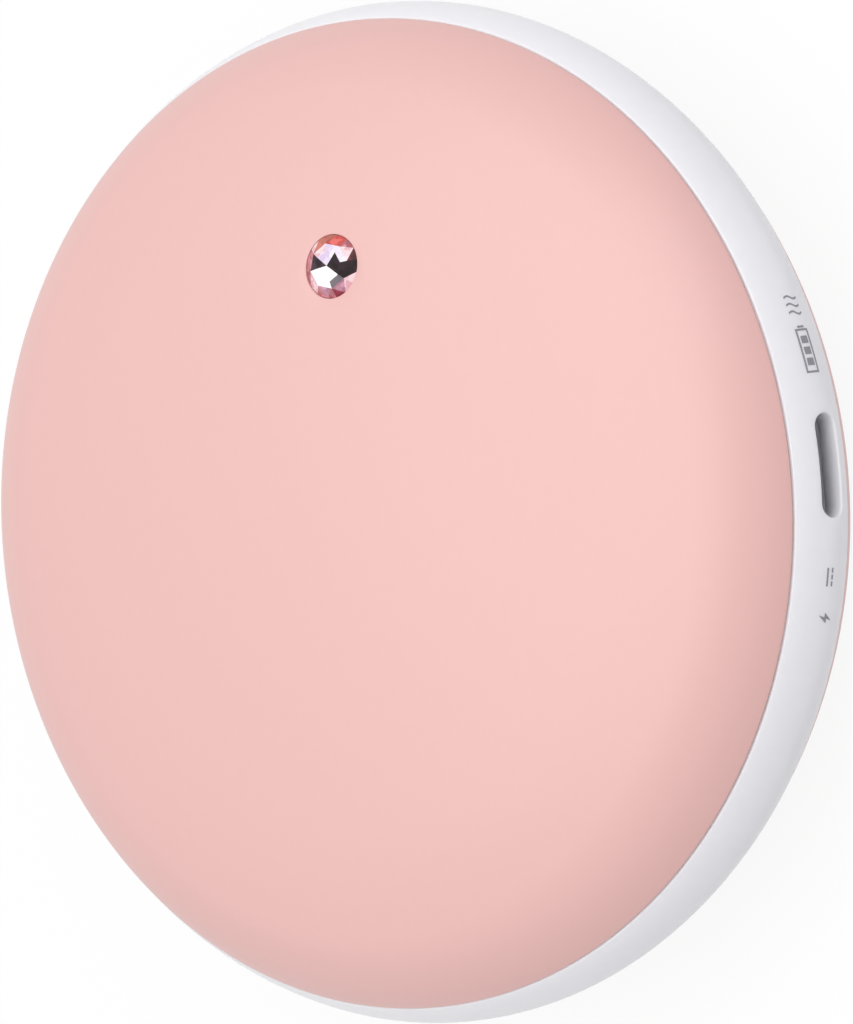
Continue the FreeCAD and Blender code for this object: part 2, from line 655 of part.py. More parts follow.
def front_insulation():
    return lining(1, PAD_INSET, PAD_THICKNESS, PAD_RADIUS).cut(button_hole(PAD_BUTTON_HOLE))


def rear_insulation():
    return lining(-1, PAD_INSET, PAD_THICKNESS, PAD_RADIUS)


def film_face(side, place):
    """Height of a heater film's inner face at a place, less the gap that solder or glue fills."""
    radius = sqrt(place[0] ** 2 + place[1] ** 2)
    return EQUATOR + side * outline_height(radius, PAD_INSET)


def bowed_lead(y, far_place, board_face, far_face, diameter):
    """Lead with some slack from a face of the board to a heater film, bowed towards the rim."""
    rise = far_face - board_face
    knees = [board_face + share * rise for share in LEAD_KNEES]
    points = [
        Vector(HEATER_LEAD_X, y, board_face),
        Vector(HEATER_LEAD_X, y, knees[0]),
        Vector(HEATER_LEAD_X + HEATER_LEAD_BOW, (y + far_place[1]) / 2, knees[1]),
        Vector(*far_place, knees[2]),
        Vector(*far_place, far_face),
    ]
    return lead(points, [HEATER_LEAD_BEND] * 3, diameter)


def heater_leads(side, board_face):
    """Two leads from the main board to one heater's film."""
    x_rim = HEATER_LEAD_FAR + HEATER_LEAD_DIAMETER / 2
    leads = []
    for y in HEATER_LEAD_YS:
        face = film_face(side, (x_rim, y))
        leads.append(bowed_lead(y, (HEATER_LEAD_FAR, y), board_face, face, HEATER_LEAD_DIAMETER))
    return Part.makeCompound(leads)


def thermistor(side, board_face):
    """Glass bead on the heater's film, with its two thin leads to the main board."""
    x, y = BEAD_PLACE
    centre = film_face(side, BEAD_PLACE) - side * BEAD_DIAMETER / 2
    pieces = []
    for y_start, side_step in zip(BEAD_LEAD_YS, (0.5, -0.5)):
        landing = (x, y + side_step * BEAD_LEAD_PITCH)
        pieces.append(bowed_lead(y_start, landing, board_face, centre, BEAD_LEAD_DIAMETER))
    return Part.makeSphere(BEAD_DIAMETER / 2, Vector(x, y, centre)).multiFuse(pieces).removeSplitter()


# Battery

def battery_cell():
    cell = rounded_box((-CELL_HALF_WIDTH, CELL_HALF_WIDTH), (-CELL_HALF_LENGTH, CELL_HALF_LENGTH),
                       (CELL_BOTTOM, CELL_TOP), CELL_CORNER)
    rims = [edge for edge in cell.Edges if edge.BoundBox.ZLength < CELL_EDGE]
    return cell.makeFillet(CELL_EDGE, rims)


PROTECTION_TOP = WEB_TOP + PROTECTION_THICKNESS
TAB_START = TAB_INSET - PROTECTION_LENGTH / 2
TAB_END = TAB_START + TAB_PITCH + TAB_WIDTH
LEAD_STARTS = [TAB_END + LEAD_DIAMETER * (2 * k + 1) for k in range(2)]


def protection_board():
    half = PROTECTION_LENGTH / 2
    return box((-half, half), (CELL_HALF_LENGTH, CELL_HALF_LENGTH + PROTECTION_DEPTH),
               (WEB_TOP, PROTECTION_TOP))


def cell_tabs():
    """Two nickel strips from the end of the cell on to the protection board."""
    tabs = []
    for x in (TAB_START, TAB_START + TAB_PITCH):
        tabs.append(box((x, x + TAB_WIDTH), (CELL_HALF_LENGTH, CELL_HALF_LENGTH + TAB_LENGTH),
                        (PROTECTION_TOP, PROTECTION_TOP + TAB_THICKNESS)))
    return Part.makeCompound(tabs)


def battery_lead(offset, x_start, y_end):
    """Lead from the protection board round the cell's corner to the main board."""
    height = WEB_TOP + LEAD_RISE
    x_side = CELL_HALF_WIDTH + offset
    y_side = CELL_HALF_LENGTH + offset
    x_end = BOARD_BACK + LEAD_LANDING
    points = [
        Vector(x_start, y_side, PROTECTION_TOP),
        Vector(x_start, y_side, height),
        Vector(x_side, y_side, height),
        Vector(x_side, y_end, height),
        Vector(x_end, y_end, height),
        Vector(x_end, y_end, BOARD_TOP),
    ]
    return lead(points, [LEAD_BEND, CELL_CORNER + offset, LEAD_BEND, LEAD_BEND], LEAD_DIAMETER)


def battery_lead_positive():
    y_end = BOARD_SCREW_Y - SCREW_HEAD_DIAMETER / 2 - 2 * LEAD_STEP - LEAD_DIAMETER
    return battery_lead(INNER_LEAD_OFFSET, LEAD_STARTS[0], y_end)


def battery_lead_negative():
    y_end = BOARD_SCREW_Y - SCREW_HEAD_DIAMETER / 2 - LEAD_STEP + LEAD_CLEARANCE
    return battery_lead(OUTER_LEAD_OFFSET, LEAD_STARTS[1], y_end)


def cell_pad(low, high):
    """Flat sheet over one face of the cell."""
    half_width = CELL_HALF_WIDTH - SHEET_MARGIN
    half_length = CELL_HALF_LENGTH - SHEET_MARGIN
    return rounded_box((-half_width, half_width), (-half_length, half_length), (low, high), CELL_CORNER)


def battery_tape():
    return cell_pad(TRAY_TOP, CELL_BOTTOM)


def lid_foam():
    return cell_pad(CELL_TOP, LID_BOTTOM)


def cell_plate(low, high):
    """Round plate over the cell, open over the main board and its leads, and drilled for its screws."""
    plate = cylinder(2 * PLATE_RADIUS, (0, 0), low, high)
    opening = box((BOARD_BACK, BODY_RADIUS), (-BOARD_OPENING_HALF, BOARD_OPENING_HALF), (low, high))
    lead_edge = min(BOARD_BACK, BEAD_PLACE[0] - HEATER_LEAD_PITCH)
    lead_span = (BEAD_PLACE[1] - HEATER_LEAD_PITCH, HEATER_LEAD_PITCH)
    lead_notch = box((lead_edge, BODY_RADIUS), lead_span, (low, high))
    holes = [cylinder(SCREW_HOLE_DIAMETER, place, low, high) for place in BOSS_PLACES]
    return plate.cut(Part.makeCompound(holes)).cut(opening).cut(lead_notch)


def battery_tray():
    return cell_plate(TRAY_BOTTOM, TRAY_TOP)


def battery_lid():
    """Plate with two stakes whose melted heads hold the switch board."""
    pieces = []
    for place in STAKE_PLACES:
        pieces.append(cylinder(STAKE_DIAMETER, place, LID_BOTTOM, SWITCH_BOARD_TOP + STAKE_HEAD_HEIGHT))
        head = cylinder(STAKE_HEAD_DIAMETER, place, SWITCH_BOARD_TOP, SWITCH_BOARD_TOP + STAKE_HEAD_HEIGHT)
        pieces.append(head)
    return cell_plate(LID_BOTTOM, LID_TOP).multiFuse(pieces).removeSplitter()


def tray_screws():
    return Part.makeCompound([screw(place, TRAY_BOTTOM, TRAY_SCREW_LENGTH, -1) for place in BOSS_PLACES])


def lid_screws():
    return Part.makeCompound([screw(place, LID_TOP, LID_SCREW_LENGTH, 1) for place in BOSS_PLACES])


# Main board

def main_board():
    outline = cylinder(2 * BOARD_RADIUS, (0, 0), BOARD_BOTTOM, BOARD_TOP)
    strip = box((BOARD_BACK, BODY_RADIUS), (-BOARD_HALF_LENGTH, BOARD_HALF_LENGTH), (BOARD_BOTTOM, BOARD_TOP))
    notch = box((NOTCH_BACK, BODY_RADIUS), (-NOTCH_HALF, NOTCH_HALF), (BOARD_BOTTOM, BOARD_TOP))
    holes = [cylinder(SCREW_HOLE_DIAMETER, place, BOARD_BOTTOM, BOARD_TOP) for place in BOARD_SCREW_PLACES]
    return outline.common(strip).cut(Part.makeCompound(holes + [notch]))


def board_screws():
    return Part.makeCompound([screw(place, BOARD_TOP, BOARD_SCREW_LENGTH, 1) for place in BOARD_SCREW_PLACES])


def on_board(x_range, y_range, height):
    return box(x_range, y_range, (BOARD_TOP, BOARD_TOP + height))


# Rows of parts along the board: capacitors behind the socket, chips towards +Y, power parts towards -Y
CAPACITOR_X = NOTCH_BACK - PART_GAP - CAPACITOR_WIDTH
CAPACITOR_ROW = (CAPACITOR_COUNT - 1) * CAPACITOR_PITCH + CAPACITOR_LENGTH
CHIP_X = CAPACITOR_X - PART_GAP - CHARGE_CHIP_SIDE
CHIP_Y = PART_GAP / 2
CONTROL_Y = CHIP_Y + CHARGE_CHIP_SIDE + PART_GAP
CONTROL_X = BOARD_SCREW_X + SCREW_HEAD_DIAMETER / 2 + BOSS_CLEARANCE + CONTROL_PIN_REACH
TRANSISTOR_X = NOTCH_BACK - 2 * TRANSISTOR_LENGTH - PART_GAP
TRANSISTOR_Y = -CAPACITOR_ROW / 2 - PART_GAP / 2 - TRANSISTOR_LEG - TRANSISTOR_WIDTH
INDUCTOR_X = BOARD_SCREW_X + SCREW_HEAD_DIAMETER / 2 + BOSS_CLEARANCE
INDUCTOR_Y = TRANSISTOR_Y - TRANSISTOR_LEG - PART_GAP - INDUCTOR_SIDE


def charge_chip():
    return on_board((CHIP_X, CHIP_X + CHARGE_CHIP_SIDE), (CHIP_Y, CHIP_Y + CHARGE_CHIP_SIDE),
                    CHARGE_CHIP_HEIGHT)


def control_chip():
    """Moulded chip with a row of bent pins on each long side."""
    x_range = (CONTROL_X, CONTROL_X + CONTROL_CHIP_WIDTH)
    lift = PIN_THICKNESS / 2
    body = box(x_range, (CONTROL_Y, CONTROL_Y + CONTROL_CHIP_LENGTH),
               (BOARD_TOP + lift, BOARD_TOP + CONTROL_CHIP_HEIGHT))
    middle = CONTROL_Y + CONTROL_CHIP_LENGTH / 2
    pins = []
    for k in range(CONTROL_CHIP_PINS):
        y = middle + (k - (CONTROL_CHIP_PINS - 1) / 2) * CONTROL_PIN_PITCH - PIN_WIDTH / 2
        pins.append(on_board((x_range[0] - CONTROL_PIN_REACH, x_range[1] + CONTROL_PIN_REACH),
                             (y, y + PIN_WIDTH), PIN_THICKNESS))
    return body.multiFuse(pins).removeSplitter()


def power_inductor():
    """Square ferrite drum with cut corners and a dished top."""
    solid = on_board((INDUCTOR_X, INDUCTOR_X + INDUCTOR_SIDE), (INDUCTOR_Y, INDUCTOR_Y + INDUCTOR_SIDE),
                     INDUCTOR_HEIGHT)
    solid = solid.makeChamfer(INDUCTOR_CHAMFER, upright_edges(solid))
    middle = (INDUCTOR_X + INDUCTOR_SIDE / 2, INDUCTOR_Y + INDUCTOR_SIDE / 2)
    top = BOARD_TOP + INDUCTOR_HEIGHT
    return solid.cut(cylinder(INDUCTOR_DISH_DIAMETER, middle, top - INDUCTOR_DISH_DEPTH, top))


def board_capacitors():
    pieces = []
    for k in range(CAPACITOR_COUNT):
        y = (k - (CAPACITOR_COUNT - 1) / 2) * CAPACITOR_PITCH - CAPACITOR_LENGTH / 2
        pieces.append(on_board((CAPACITOR_X, CAPACITOR_X + CAPACITOR_WIDTH), (y, y + CAPACITOR_LENGTH),
                               CAPACITOR_WIDTH))
    return Part.makeCompound(pieces)


def heater_transistors():
    """Two small moulded transistors, one for each heater, with two legs on one side and one on the other."""
    y_low, y_high = TRANSISTOR_Y, TRANSISTOR_Y + TRANSISTOR_WIDTH
    pieces = []
    for k in range(2):
        x = TRANSISTOR_X + k * (TRANSISTOR_LENGTH + PART_GAP)
        middle = x + TRANSISTOR_LENGTH / 2 - PIN_WIDTH / 2
        body = on_board((x, x + TRANSISTOR_LENGTH), (y_low, y_high), TRANSISTOR_HEIGHT)
        legs = [on_board((middle, middle + PIN_WIDTH), (y_low, y_high + TRANSISTOR_LEG), PIN_THICKNESS)]
        for side in (-1, 1):
            x_leg = middle + side * TRANSISTOR_PITCH / 2
            legs.append(on_board((x_leg, x_leg + PIN_WIDTH), (y_low - TRANSISTOR_LEG, y_high), PIN_THICKNESS))
        pieces.append(body.multiFuse(legs).removeSplitter())
    return Part.makeCompound(pieces)


# Charging port

def port_shell():
    """Drawn steel tube with a foot on each side that rests on the board."""
    outer = pill(SHELL_WIDTH, SHELL_HEIGHT, (SHELL_BACK, SHELL_MOUTH), PORT_HEIGHT)
    feet_x = (SHELL_BACK + SHELL_WALL, SHELL_BACK + SHELL_WALL + SHELL_FOOT_LENGTH)
    feet = []
    for side in (-1, 1):
        y = sorted((side * (SHELL_WIDTH / 2 - SHELL_HEIGHT / 2), side * (NOTCH_HALF + SHELL_FOOT_REACH)))
        feet.append(box(feet_x, y, (BOARD_TOP, BOARD_TOP + SHELL_WALL)))
    inner = pill(SHELL_WIDTH - 2 * SHELL_WALL, SHELL_HEIGHT - 2 * SHELL_WALL,
                 (SHELL_BACK, SHELL_MOUTH), PORT_HEIGHT)
    return outer.multiFuse(feet).cut(inner).removeSplitter()


def port_tongue():
    """Moulded base that closes the shell's back, with the tongue that carries the contacts."""
    inset = 2 * (SHELL_WALL + TONGUE_FIT)
    root = SHELL_BACK + TONGUE_BASE
    base = pill(SHELL_WIDTH - inset, SHELL_HEIGHT - inset, (SHELL_BACK, root), PORT_HEIGHT)
    tongue = box((SHELL_BACK, root + TONGUE_LENGTH), (-TONGUE_WIDTH / 2, TONGUE_WIDTH / 2),
                 (PORT_HEIGHT - TONGUE_THICKNESS / 2, PORT_HEIGHT + TONGUE_THICKNESS / 2))
    return base.fuse(tongue).removeSplitter()


def port_contacts():
    """A row of flat contacts on each face of the tongue."""
    contacts = []
    x_range = (SHELL_BACK + TONGUE_BASE, SHELL_BACK + TONGUE_BASE + CONTACT_LENGTH)
    upper = PORT_HEIGHT + TONGUE_THICKNESS / 2
    lower = PORT_HEIGHT - TONGUE_THICKNESS / 2 - CONTACT_THICKNESS
    for k in range(CONTACT_COUNT):
        y = (k - (CONTACT_COUNT - 1) / 2) * CONTACT_PITCH - CONTACT_WIDTH / 2
        for low in (upper, lower):
            contacts.append(box(x_range, (y, y + CONTACT_WIDTH), (low, low + CONTACT_THICKNESS)))
    return Part.makeCompound(contacts)


# Power button

def lean(shape):
    """Lean a piece of the jewel outwards, about the point where its girdle crosses the axis of the button."""
    place = Vector(*BUTTON, GIRDLE_HEIGHT)
    tangent = Vector(-sin(radians(JEWEL_ANGLE)), cos(radians(JEWEL_ANGLE)), 0)
    shape.rotate(place, tangent, JEWEL_LEAN)
    return shape


def jewel_ring(radius, height, half_steps):
    """Points of the jewel on a circle, turned by half a facet for odd half steps."""
    centre = Vector(*BUTTON, GIRDLE_HEIGHT + height)
    angles = [2 * pi * (k + half_steps / 2) / JEWEL_FACETS for k in range(JEWEL_FACETS)]
    return [centre + Vector(radius * cos(angle), radius * sin(angle), 0) for angle in angles]


def jewel():
    """Faceted stone: table, stars, kites and rim facets above the girdle, a stepped pavilion below."""
    rim, table, star = JEWEL_DIAMETER / 2, JEWEL_TABLE_DIAMETER / 2, JEWEL_STAR_DIAMETER / 2
    slope = JEWEL_CROWN_HEIGHT / (rim - table)
    star_height = (rim - star * cos(pi / JEWEL_FACETS)) * slope
    top = jewel_ring(table, JEWEL_CROWN_HEIGHT, 0)
    stars = jewel_ring(star, star_height, 1)
    mains = jewel_ring(rim, 0.0, 0)
    halves = jewel_ring(rim, 0.0, 1)
    mains_low = jewel_ring(rim, -JEWEL_GIRDLE_HEIGHT, 0)
    halves_low = jewel_ring(rim, -JEWEL_GIRDLE_HEIGHT, 1)
    facets = [top]
    low_rim = []
    for k in range(JEWEL_FACETS):
        after = (k + 1) % JEWEL_FACETS
        facets.append([top[k], stars[k], top[after]])
        facets.append([top[k], stars[k - 1], mains[k], stars[k]])
        facets.append([stars[k], mains[k], halves[k]])
        facets.append([stars[k], halves[k], mains[after]])
        facets.append([mains[k], halves[k], halves_low[k], mains_low[k]])
        facets.append([halves[k], mains[after], mains_low[after], halves_low[k]])
        low_rim += [mains_low[k], halves_low[k]]
    facets.append(low_rim)
    faces = [Part.Face(Part.makePolygon(points + points[:1])) for points in facets]
    crown = Part.Solid(Part.Shell(faces))
    if crown.Volume < 0:
        crown.reverse()
    seat = GIRDLE_HEIGHT - JEWEL_GIRDLE_HEIGHT
    pavilion = Part.makeCone(JEWEL_CULET_DIAMETER / 2, rim - JEWEL_LEDGE, JEWEL_PAVILION_DEPTH,
                             Vector(*BUTTON, seat - JEWEL_PAVILION_DEPTH))
    return lean(crown.fuse(pavilion).removeSplitter())


def button_setting():
    """Clear stem with a cup for the stone, a flange that keeps it in the cover and a foot for the switch."""
    rim = JEWEL_DIAMETER / 2
    seat = GIRDLE_HEIGHT - JEWEL_GIRDLE_HEIGHT
    stem = cylinder(JEWEL_DIAMETER, BUTTON, FLANGE_BOTTOM, GIRDLE_HEIGHT + JEWEL_CROWN_HEIGHT)
    flange = cylinder(FLANGE_DIAMETER, BUTTON, FLANGE_BOTTOM, FLANGE_TOP)
    foot = cylinder(PRESS_FOOT_DIAMETER, BUTTON, PLUNGER_TOP + PRESS_GAP, FLANGE_TOP)
    above = cylinder(2 * FLANGE_DIAMETER, BUTTON, seat, seat + 2 * FLANGE_DIAMETER)
    cup = Part.makeCone(JEWEL_CULET_DIAMETER / 2 + JEWEL_CUP_GAP, rim - JEWEL_LEDGE + JEWEL_CUP_GAP,
                        JEWEL_PAVILION_DEPTH + JEWEL_CUP_GAP,
                        Vector(*BUTTON, seat - JEWEL_PAVILION_DEPTH - JEWEL_CUP_GAP))
    return stem.multiFuse([flange, foot]).cut(lean(above.fuse(cup))).removeSplitter()


def switch_board():
    x_range = (BUTTON[0] - SWITCH_BOARD_LENGTH / 2, BUTTON[0] + SWITCH_BOARD_LENGTH / 2)
    y_range = (BUTTON[1] - SWITCH_BOARD_WIDTH / 2, BUTTON[1] + SWITCH_BOARD_WIDTH / 2)
    board = rounded_box(x_range, y_range, (LID_TOP, SWITCH_BOARD_TOP), SWITCH_BOARD_CORNER)
    hole = STAKE_DIAMETER + 2 * STAKE_CLEARANCE
    holes = [cylinder(hole, place, LID_TOP, SWITCH_BOARD_TOP) for place in STAKE_PLACES]
    return board.cut(Part.makeCompound(holes))


def switch_block(low, high):
    half = SWITCH_SIDE / 2
    return box((BUTTON[0] - half, BUTTON[0] + half), (BUTTON[1] - half, BUTTON[1] + half), (low, high))


def switch_body():
    well = cylinder(SWITCH_WELL_DIAMETER, BUTTON, SWITCH_TOP - SWITCH_WELL_DEPTH, SWITCH_TOP)
    return switch_block(SWITCH_BOARD_TOP, SWITCH_TOP).cut(well)


def switch_cover():
    """Steel plate that closes the switch over the flange of its plunger."""
    top = SWITCH_TOP + SWITCH_COVER_THICKNESS
    hole = cylinder(PLUNGER_DIAMETER + 2 * PLUNGER_CLEARANCE, BUTTON, SWITCH_TOP, top)
    return switch_block(SWITCH_TOP, top).cut(hole)


PLUNGER_FLANGE_TOP = SWITCH_TOP - PLUNGER_CLEARANCE
PLUNGER_FLANGE_BOTTOM = PLUNGER_FLANGE_TOP - PLUNGER_FLANGE_HEIGHT


def switch_plunger():
    flange = cylinder(PLUNGER_FLANGE_DIAMETER, BUTTON, PLUNGER_FLANGE_BOTTOM, PLUNGER_FLANGE_TOP)
    stem = cylinder(PLUNGER_DIAMETER, BUTTON, PLUNGER_FLANGE_BOTTOM, PLUNGER_TOP)
    return flange.fuse(stem).removeSplitter()


def switch_dome():
    """Domed steel disc in the well, which snaps flat under the plunger and pushes it back."""
    floor = SWITCH_TOP - SWITCH_WELL_DEPTH
    rise = PLUNGER_FLANGE_BOTTOM - DOME_GAP - floor
    radius = ((DOME_DIAMETER / 2) ** 2 + rise ** 2) / (2 * rise)
    centre = Vector(*BUTTON, floor + rise - radius)
    shell = Part.makeSphere(radius, centre).cut(Part.makeSphere(radius - DOME_THICKNESS, centre))
    return shell.common(cylinder(SWITCH_WELL_DIAMETER, BUTTON, floor, SWITCH_TOP))


def status_lamp():
    """Surface lamp beside the switch, under the clear flange."""
    y = BUTTON[1] + SWITCH_SIDE / 2 + PART_GAP / 2
    return box((BUTTON[0] - LAMP_LENGTH / 2, BUTTON[0] + LAMP_LENGTH / 2), (y, y + LAMP_WIDTH),
               (SWITCH_BOARD_TOP, SWITCH_BOARD_TOP + LAMP_HEIGHT))


def switch_leads():
    """Three thin leads over the lid from the switch board to the main board."""
    height = SWITCH_BOARD_TOP + SWITCH_LEAD_DIAMETER / 2
    x_start = BUTTON[0] + SWITCH_SIDE / 2 + PART_GAP
    x_board = BUTTON[0] + SWITCH_BOARD_LENGTH / 2 + STAKE_HEAD_DIAMETER
    x_end = BOARD_BACK + SWITCH_LEAD_LANDING
    leads = []
    for k in range(SWITCH_LEAD_COUNT):
        y_start = BUTTON[1] - STAKE_HEAD_DIAMETER / 2 - SWITCH_LEAD_PITCH * (k + 1)
        y_end = SWITCH_LEAD_PITCH * (SWITCH_LEAD_COUNT - k)
        points = [
            Vector(x_start, y_start, height),
            Vector(x_board, y_start, height),
            Vector(x_end - SWITCH_LEAD_RUN, y_end, height),
            Vector(x_end, y_end, height),
            Vector(x_end, y_end, BOARD_TOP),
        ]
        leads.append(lead(points, [SWITCH_LEAD_BEND, LEAD_BEND, LEAD_BEND], SWITCH_LEAD_DIAMETER))
    return Part.makeCompound(leads)


NODES = {
    "front_cover": front_cover(),
    "rear_cover": rear_cover(),
    "middle_ring": middle_ring(),
    "front_snap_frame": front_snap_frame(),
    "rear_snap_frame": rear_snap_frame(),
    "front_heater": front_heater(),
    "rear_heater": rear_heater(),
    "front_insulation": front_insulation(),
    "rear_insulation": rear_insulation(),
    "front_heater_leads": heater_leads(1, BOARD_TOP),
    "rear_heater_leads": heater_leads(-1, BOARD_BOTTOM),
    "front_thermistor": thermistor(1, BOARD_TOP),
    "rear_thermistor": thermistor(-1, BOARD_BOTTOM),
    "battery_cell": battery_cell(),
    "cell_tabs": cell_tabs(),
    "protection_board": protection_board(),
    "battery_lead_positive": battery_lead_positive(),
    "battery_lead_negative": battery_lead_negative(),
    "battery_tape": battery_tape(),
    "lid_foam": lid_foam(),
    "battery_tray": battery_tray(),
    "battery_lid": battery_lid(),
    "tray_screws": tray_screws(),
    "lid_screws": lid_screws(),
    "main_board": main_board(),
    "board_screws": board_screws(),
    "charge_chip": charge_chip(),
    "control_chip": control_chip(),
    "power_inductor": power_inductor(),
    "board_capacitors": board_capacitors(),
    "heater_transistors": heater_transistors(),
    "port_shell": port_shell(),
    "port_tongue": port_tongue(),
    "port_contacts": port_contacts(),
    "jewel": jewel(),
    "button_setting": button_setting(),
    "switch_board": switch_board(),
    "switch_body": switch_body(),
    "switch_cover": switch_cover(),
    "switch_plunger": switch_plunger(),
    "switch_dome": switch_dome(),
    "status_lamp": status_lamp(),
    "switch_leads": switch_leads(),
}

os.makedirs("parts", exist_ok=True)
for name, shape in NODES.items():
    sound = shape.isValid() and all(solid.Volume > 0 for solid in shape.Solids)
    state = "sound" if sound else "NOT SOUND"
    print("%-22s %2d solids  %9.2f mm3  %s" % (name, len(shape.Solids), shape.Volume, state))
    shape.exportStep("parts/%s.step" % name)
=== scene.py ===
# %% [markdown]
# A pocket hand warmer is a round pebble of two domed pink covers that clasp a white band. A socket
# for charging opens in the band, and a small faceted stone in the front cover is the power button.
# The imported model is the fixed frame: each new piece is drawn in its place and rides on one of its bodies.

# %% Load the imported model
import json
from math import acos, asin, atan2, copysign, cos, degrees, hypot, pi, radians, sin

import bmesh
import bpy
from mathutils import Matrix, Vector


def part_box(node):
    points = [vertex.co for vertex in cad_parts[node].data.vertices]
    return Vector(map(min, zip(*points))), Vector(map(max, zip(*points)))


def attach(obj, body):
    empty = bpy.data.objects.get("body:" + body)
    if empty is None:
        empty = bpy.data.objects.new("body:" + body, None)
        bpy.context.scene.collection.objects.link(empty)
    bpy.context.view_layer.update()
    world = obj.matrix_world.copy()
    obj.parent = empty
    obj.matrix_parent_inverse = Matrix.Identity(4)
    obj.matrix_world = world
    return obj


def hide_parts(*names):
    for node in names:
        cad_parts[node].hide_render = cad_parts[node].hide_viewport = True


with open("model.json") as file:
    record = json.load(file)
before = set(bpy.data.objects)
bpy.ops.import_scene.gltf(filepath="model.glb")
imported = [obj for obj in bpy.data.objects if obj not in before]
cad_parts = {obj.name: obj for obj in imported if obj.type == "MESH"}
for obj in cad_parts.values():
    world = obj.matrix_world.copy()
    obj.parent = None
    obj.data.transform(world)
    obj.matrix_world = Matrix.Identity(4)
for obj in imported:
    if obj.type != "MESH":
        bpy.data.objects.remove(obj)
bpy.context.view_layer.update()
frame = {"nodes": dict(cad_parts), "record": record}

MM = 0.001
scene = bpy.context.scene
scene.view_settings.view_transform = "Standard"


# %% [markdown]
# Covers and band share one outline: a chain of arcs that are tangent to each other, from a flat crown
# on the axis to a tight nose at the widest plane. Freehand curves would give a wobbly highlight, so the
# surface is worked out from the arcs, and each point is named by the angle of its normal from the axis.

# %% Outline of the pebble, in millimetres
BODY_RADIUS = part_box("middle_ring")[1].y / MM
NOSE_RADIUS = 4.0
FLANK_RADIUS = 12.5
SHOULDER_RADIUS = 45.0
NOSE_ANGLE = 75.0
FLANK_ANGLE = 20.0
SHOULDER_ANGLE = 8.5
REST_FLAT_RADIUS = 22.0


def outline_arcs():
    """Centre, radius and last normal angle of each arc, from the axis outwards."""
    centre = Vector((BODY_RADIUS - NOSE_RADIUS, 0.0))
    radius = NOSE_RADIUS
    arcs = [(centre.copy(), radius, 90.0)]
    for wider, angle in ((FLANK_RADIUS, NOSE_ANGLE), (SHOULDER_RADIUS, FLANK_ANGLE)):
        centre -= (wider - radius) * Vector((sin(radians(angle)), cos(radians(angle))))
        radius = wider
        arcs.append((centre.copy(), radius, angle))
    step = centre.x / sin(radians(SHOULDER_ANGLE))
    crown = Vector((0.0, centre.y - step * cos(radians(SHOULDER_ANGLE))))
    arcs.append((crown, radius + step, SHOULDER_ANGLE))
    return arcs[::-1]


ARCS = outline_arcs()


def outline_place(angle, inset=0.0):
    """Radius and height above the widest plane where the normal has this angle."""
    for centre, radius, last in ARCS:
        if angle <= last:
            break
    return centre + (radius - inset) * Vector((sin(radians(angle)), cos(radians(angle))))


def angle_at_height(height, inset=0.0):
    """Normal angle at a height above the widest plane."""
    for centre, radius, last in ARCS:
        if height >= centre.y + (radius - inset) * cos(radians(last)):
            break
    return degrees(acos((height - centre.y) / (radius - inset)))


def angle_at_radius(distance, inset=0.0):
    """Normal angle at a distance from the axis."""
    for centre, radius, last in ARCS:
        if distance <= centre.x + (radius - inset) * sin(radians(last)):
            break
    return degrees(asin((distance - centre.x) / (radius - inset)))


def height_at_radius(distance, inset=0.0):
    """Height above the widest plane at a distance from the axis."""
    return outline_place(angle_at_radius(distance, inset), inset).y


EQUATOR = height_at_radius(REST_FLAT_RADIUS)
print("widest plane", round(EQUATOR, 3), "mm up, whole height", round(EQUATOR + height_at_radius(0.0), 3))

# %% [markdown]
# The camera stands where the photograph was taken: a long lens, about half a metre away, looks at the
# front cover from the port's side. Its place follows from how far the disc tilts away from the line
# of sight.

# %% Camera at the photograph's view
IMAGE_WIDTH = 853
IMAGE_HEIGHT = 1024
SENSOR = 36.0
VIEW_TILT = radians(37.114)
VIEW_TURN = radians(-2.7)
VIEW_ROLL = radians(3.084)
VIEW_DISTANCE = 504.2
PIXELS_PER_MM = 11.604
DISC_CENTRE_PIXEL = (408.29, 512.93)


def place_camera():
    """Camera that sees the disc's centre at its pixel, with the photograph's tilt and roll."""
    sight = Vector((-sin(VIEW_TILT) * cos(VIEW_TURN), -sin(VIEW_TILT) * sin(VIEW_TURN), -cos(VIEW_TILT)))
    up = Vector((-sin(VIEW_TURN), cos(VIEW_TURN), 0.0))
    up = Matrix.Rotation(VIEW_ROLL, 3, sight) @ up
    side = sight.cross(up)
    target = Vector((0.0, 0.0, EQUATOR))
    stand = target - sight * VIEW_DISTANCE
    right_of_disc = (IMAGE_WIDTH / 2 - DISC_CENTRE_PIXEL[0]) / PIXELS_PER_MM
    above_disc = (DISC_CENTRE_PIXEL[1] - IMAGE_HEIGHT / 2) / PIXELS_PER_MM
    aim = (target + side * right_of_disc + up * above_disc - stand).normalized()
    side = aim.cross(up).normalized()
    up = side.cross(aim)
    camera = bpy.data.objects.new("camera", bpy.data.cameras.new("camera"))
    camera.data.sensor_width = SENSOR
    camera.data.lens = PIXELS_PER_MM * VIEW_DISTANCE / IMAGE_HEIGHT * SENSOR
    turn = Matrix((side, up, -aim)).transposed().to_4x4()
    camera.matrix_world = Matrix.Translation(stand * MM) @ turn
    scene.collection.objects.link(camera)
    scene.camera = camera
    print("lens", round(camera.data.lens, 1), "mm, camera at", [round(part) for part in stand])


place_camera()

# %% [markdown]
# Each material is a small net of nodes. One function adds a node, sets its values and links it, and one
# turns the colours, which are written as they look on a screen, into the linear values that light needs.

# %% Nodes and colours
def linear(colour):
    """Linear RGBA of a screen colour such as #F4C7C2, by the sRGB curve."""
    shares = [int(colour[place:place + 2], 16) / 255 for place in (1, 3, 5)]
    parts = [share / 12.92 if share <= 0.04045 else ((share + 0.055) / 1.055) ** 2.4 for share in shares]
    return (*parts, 1.0)


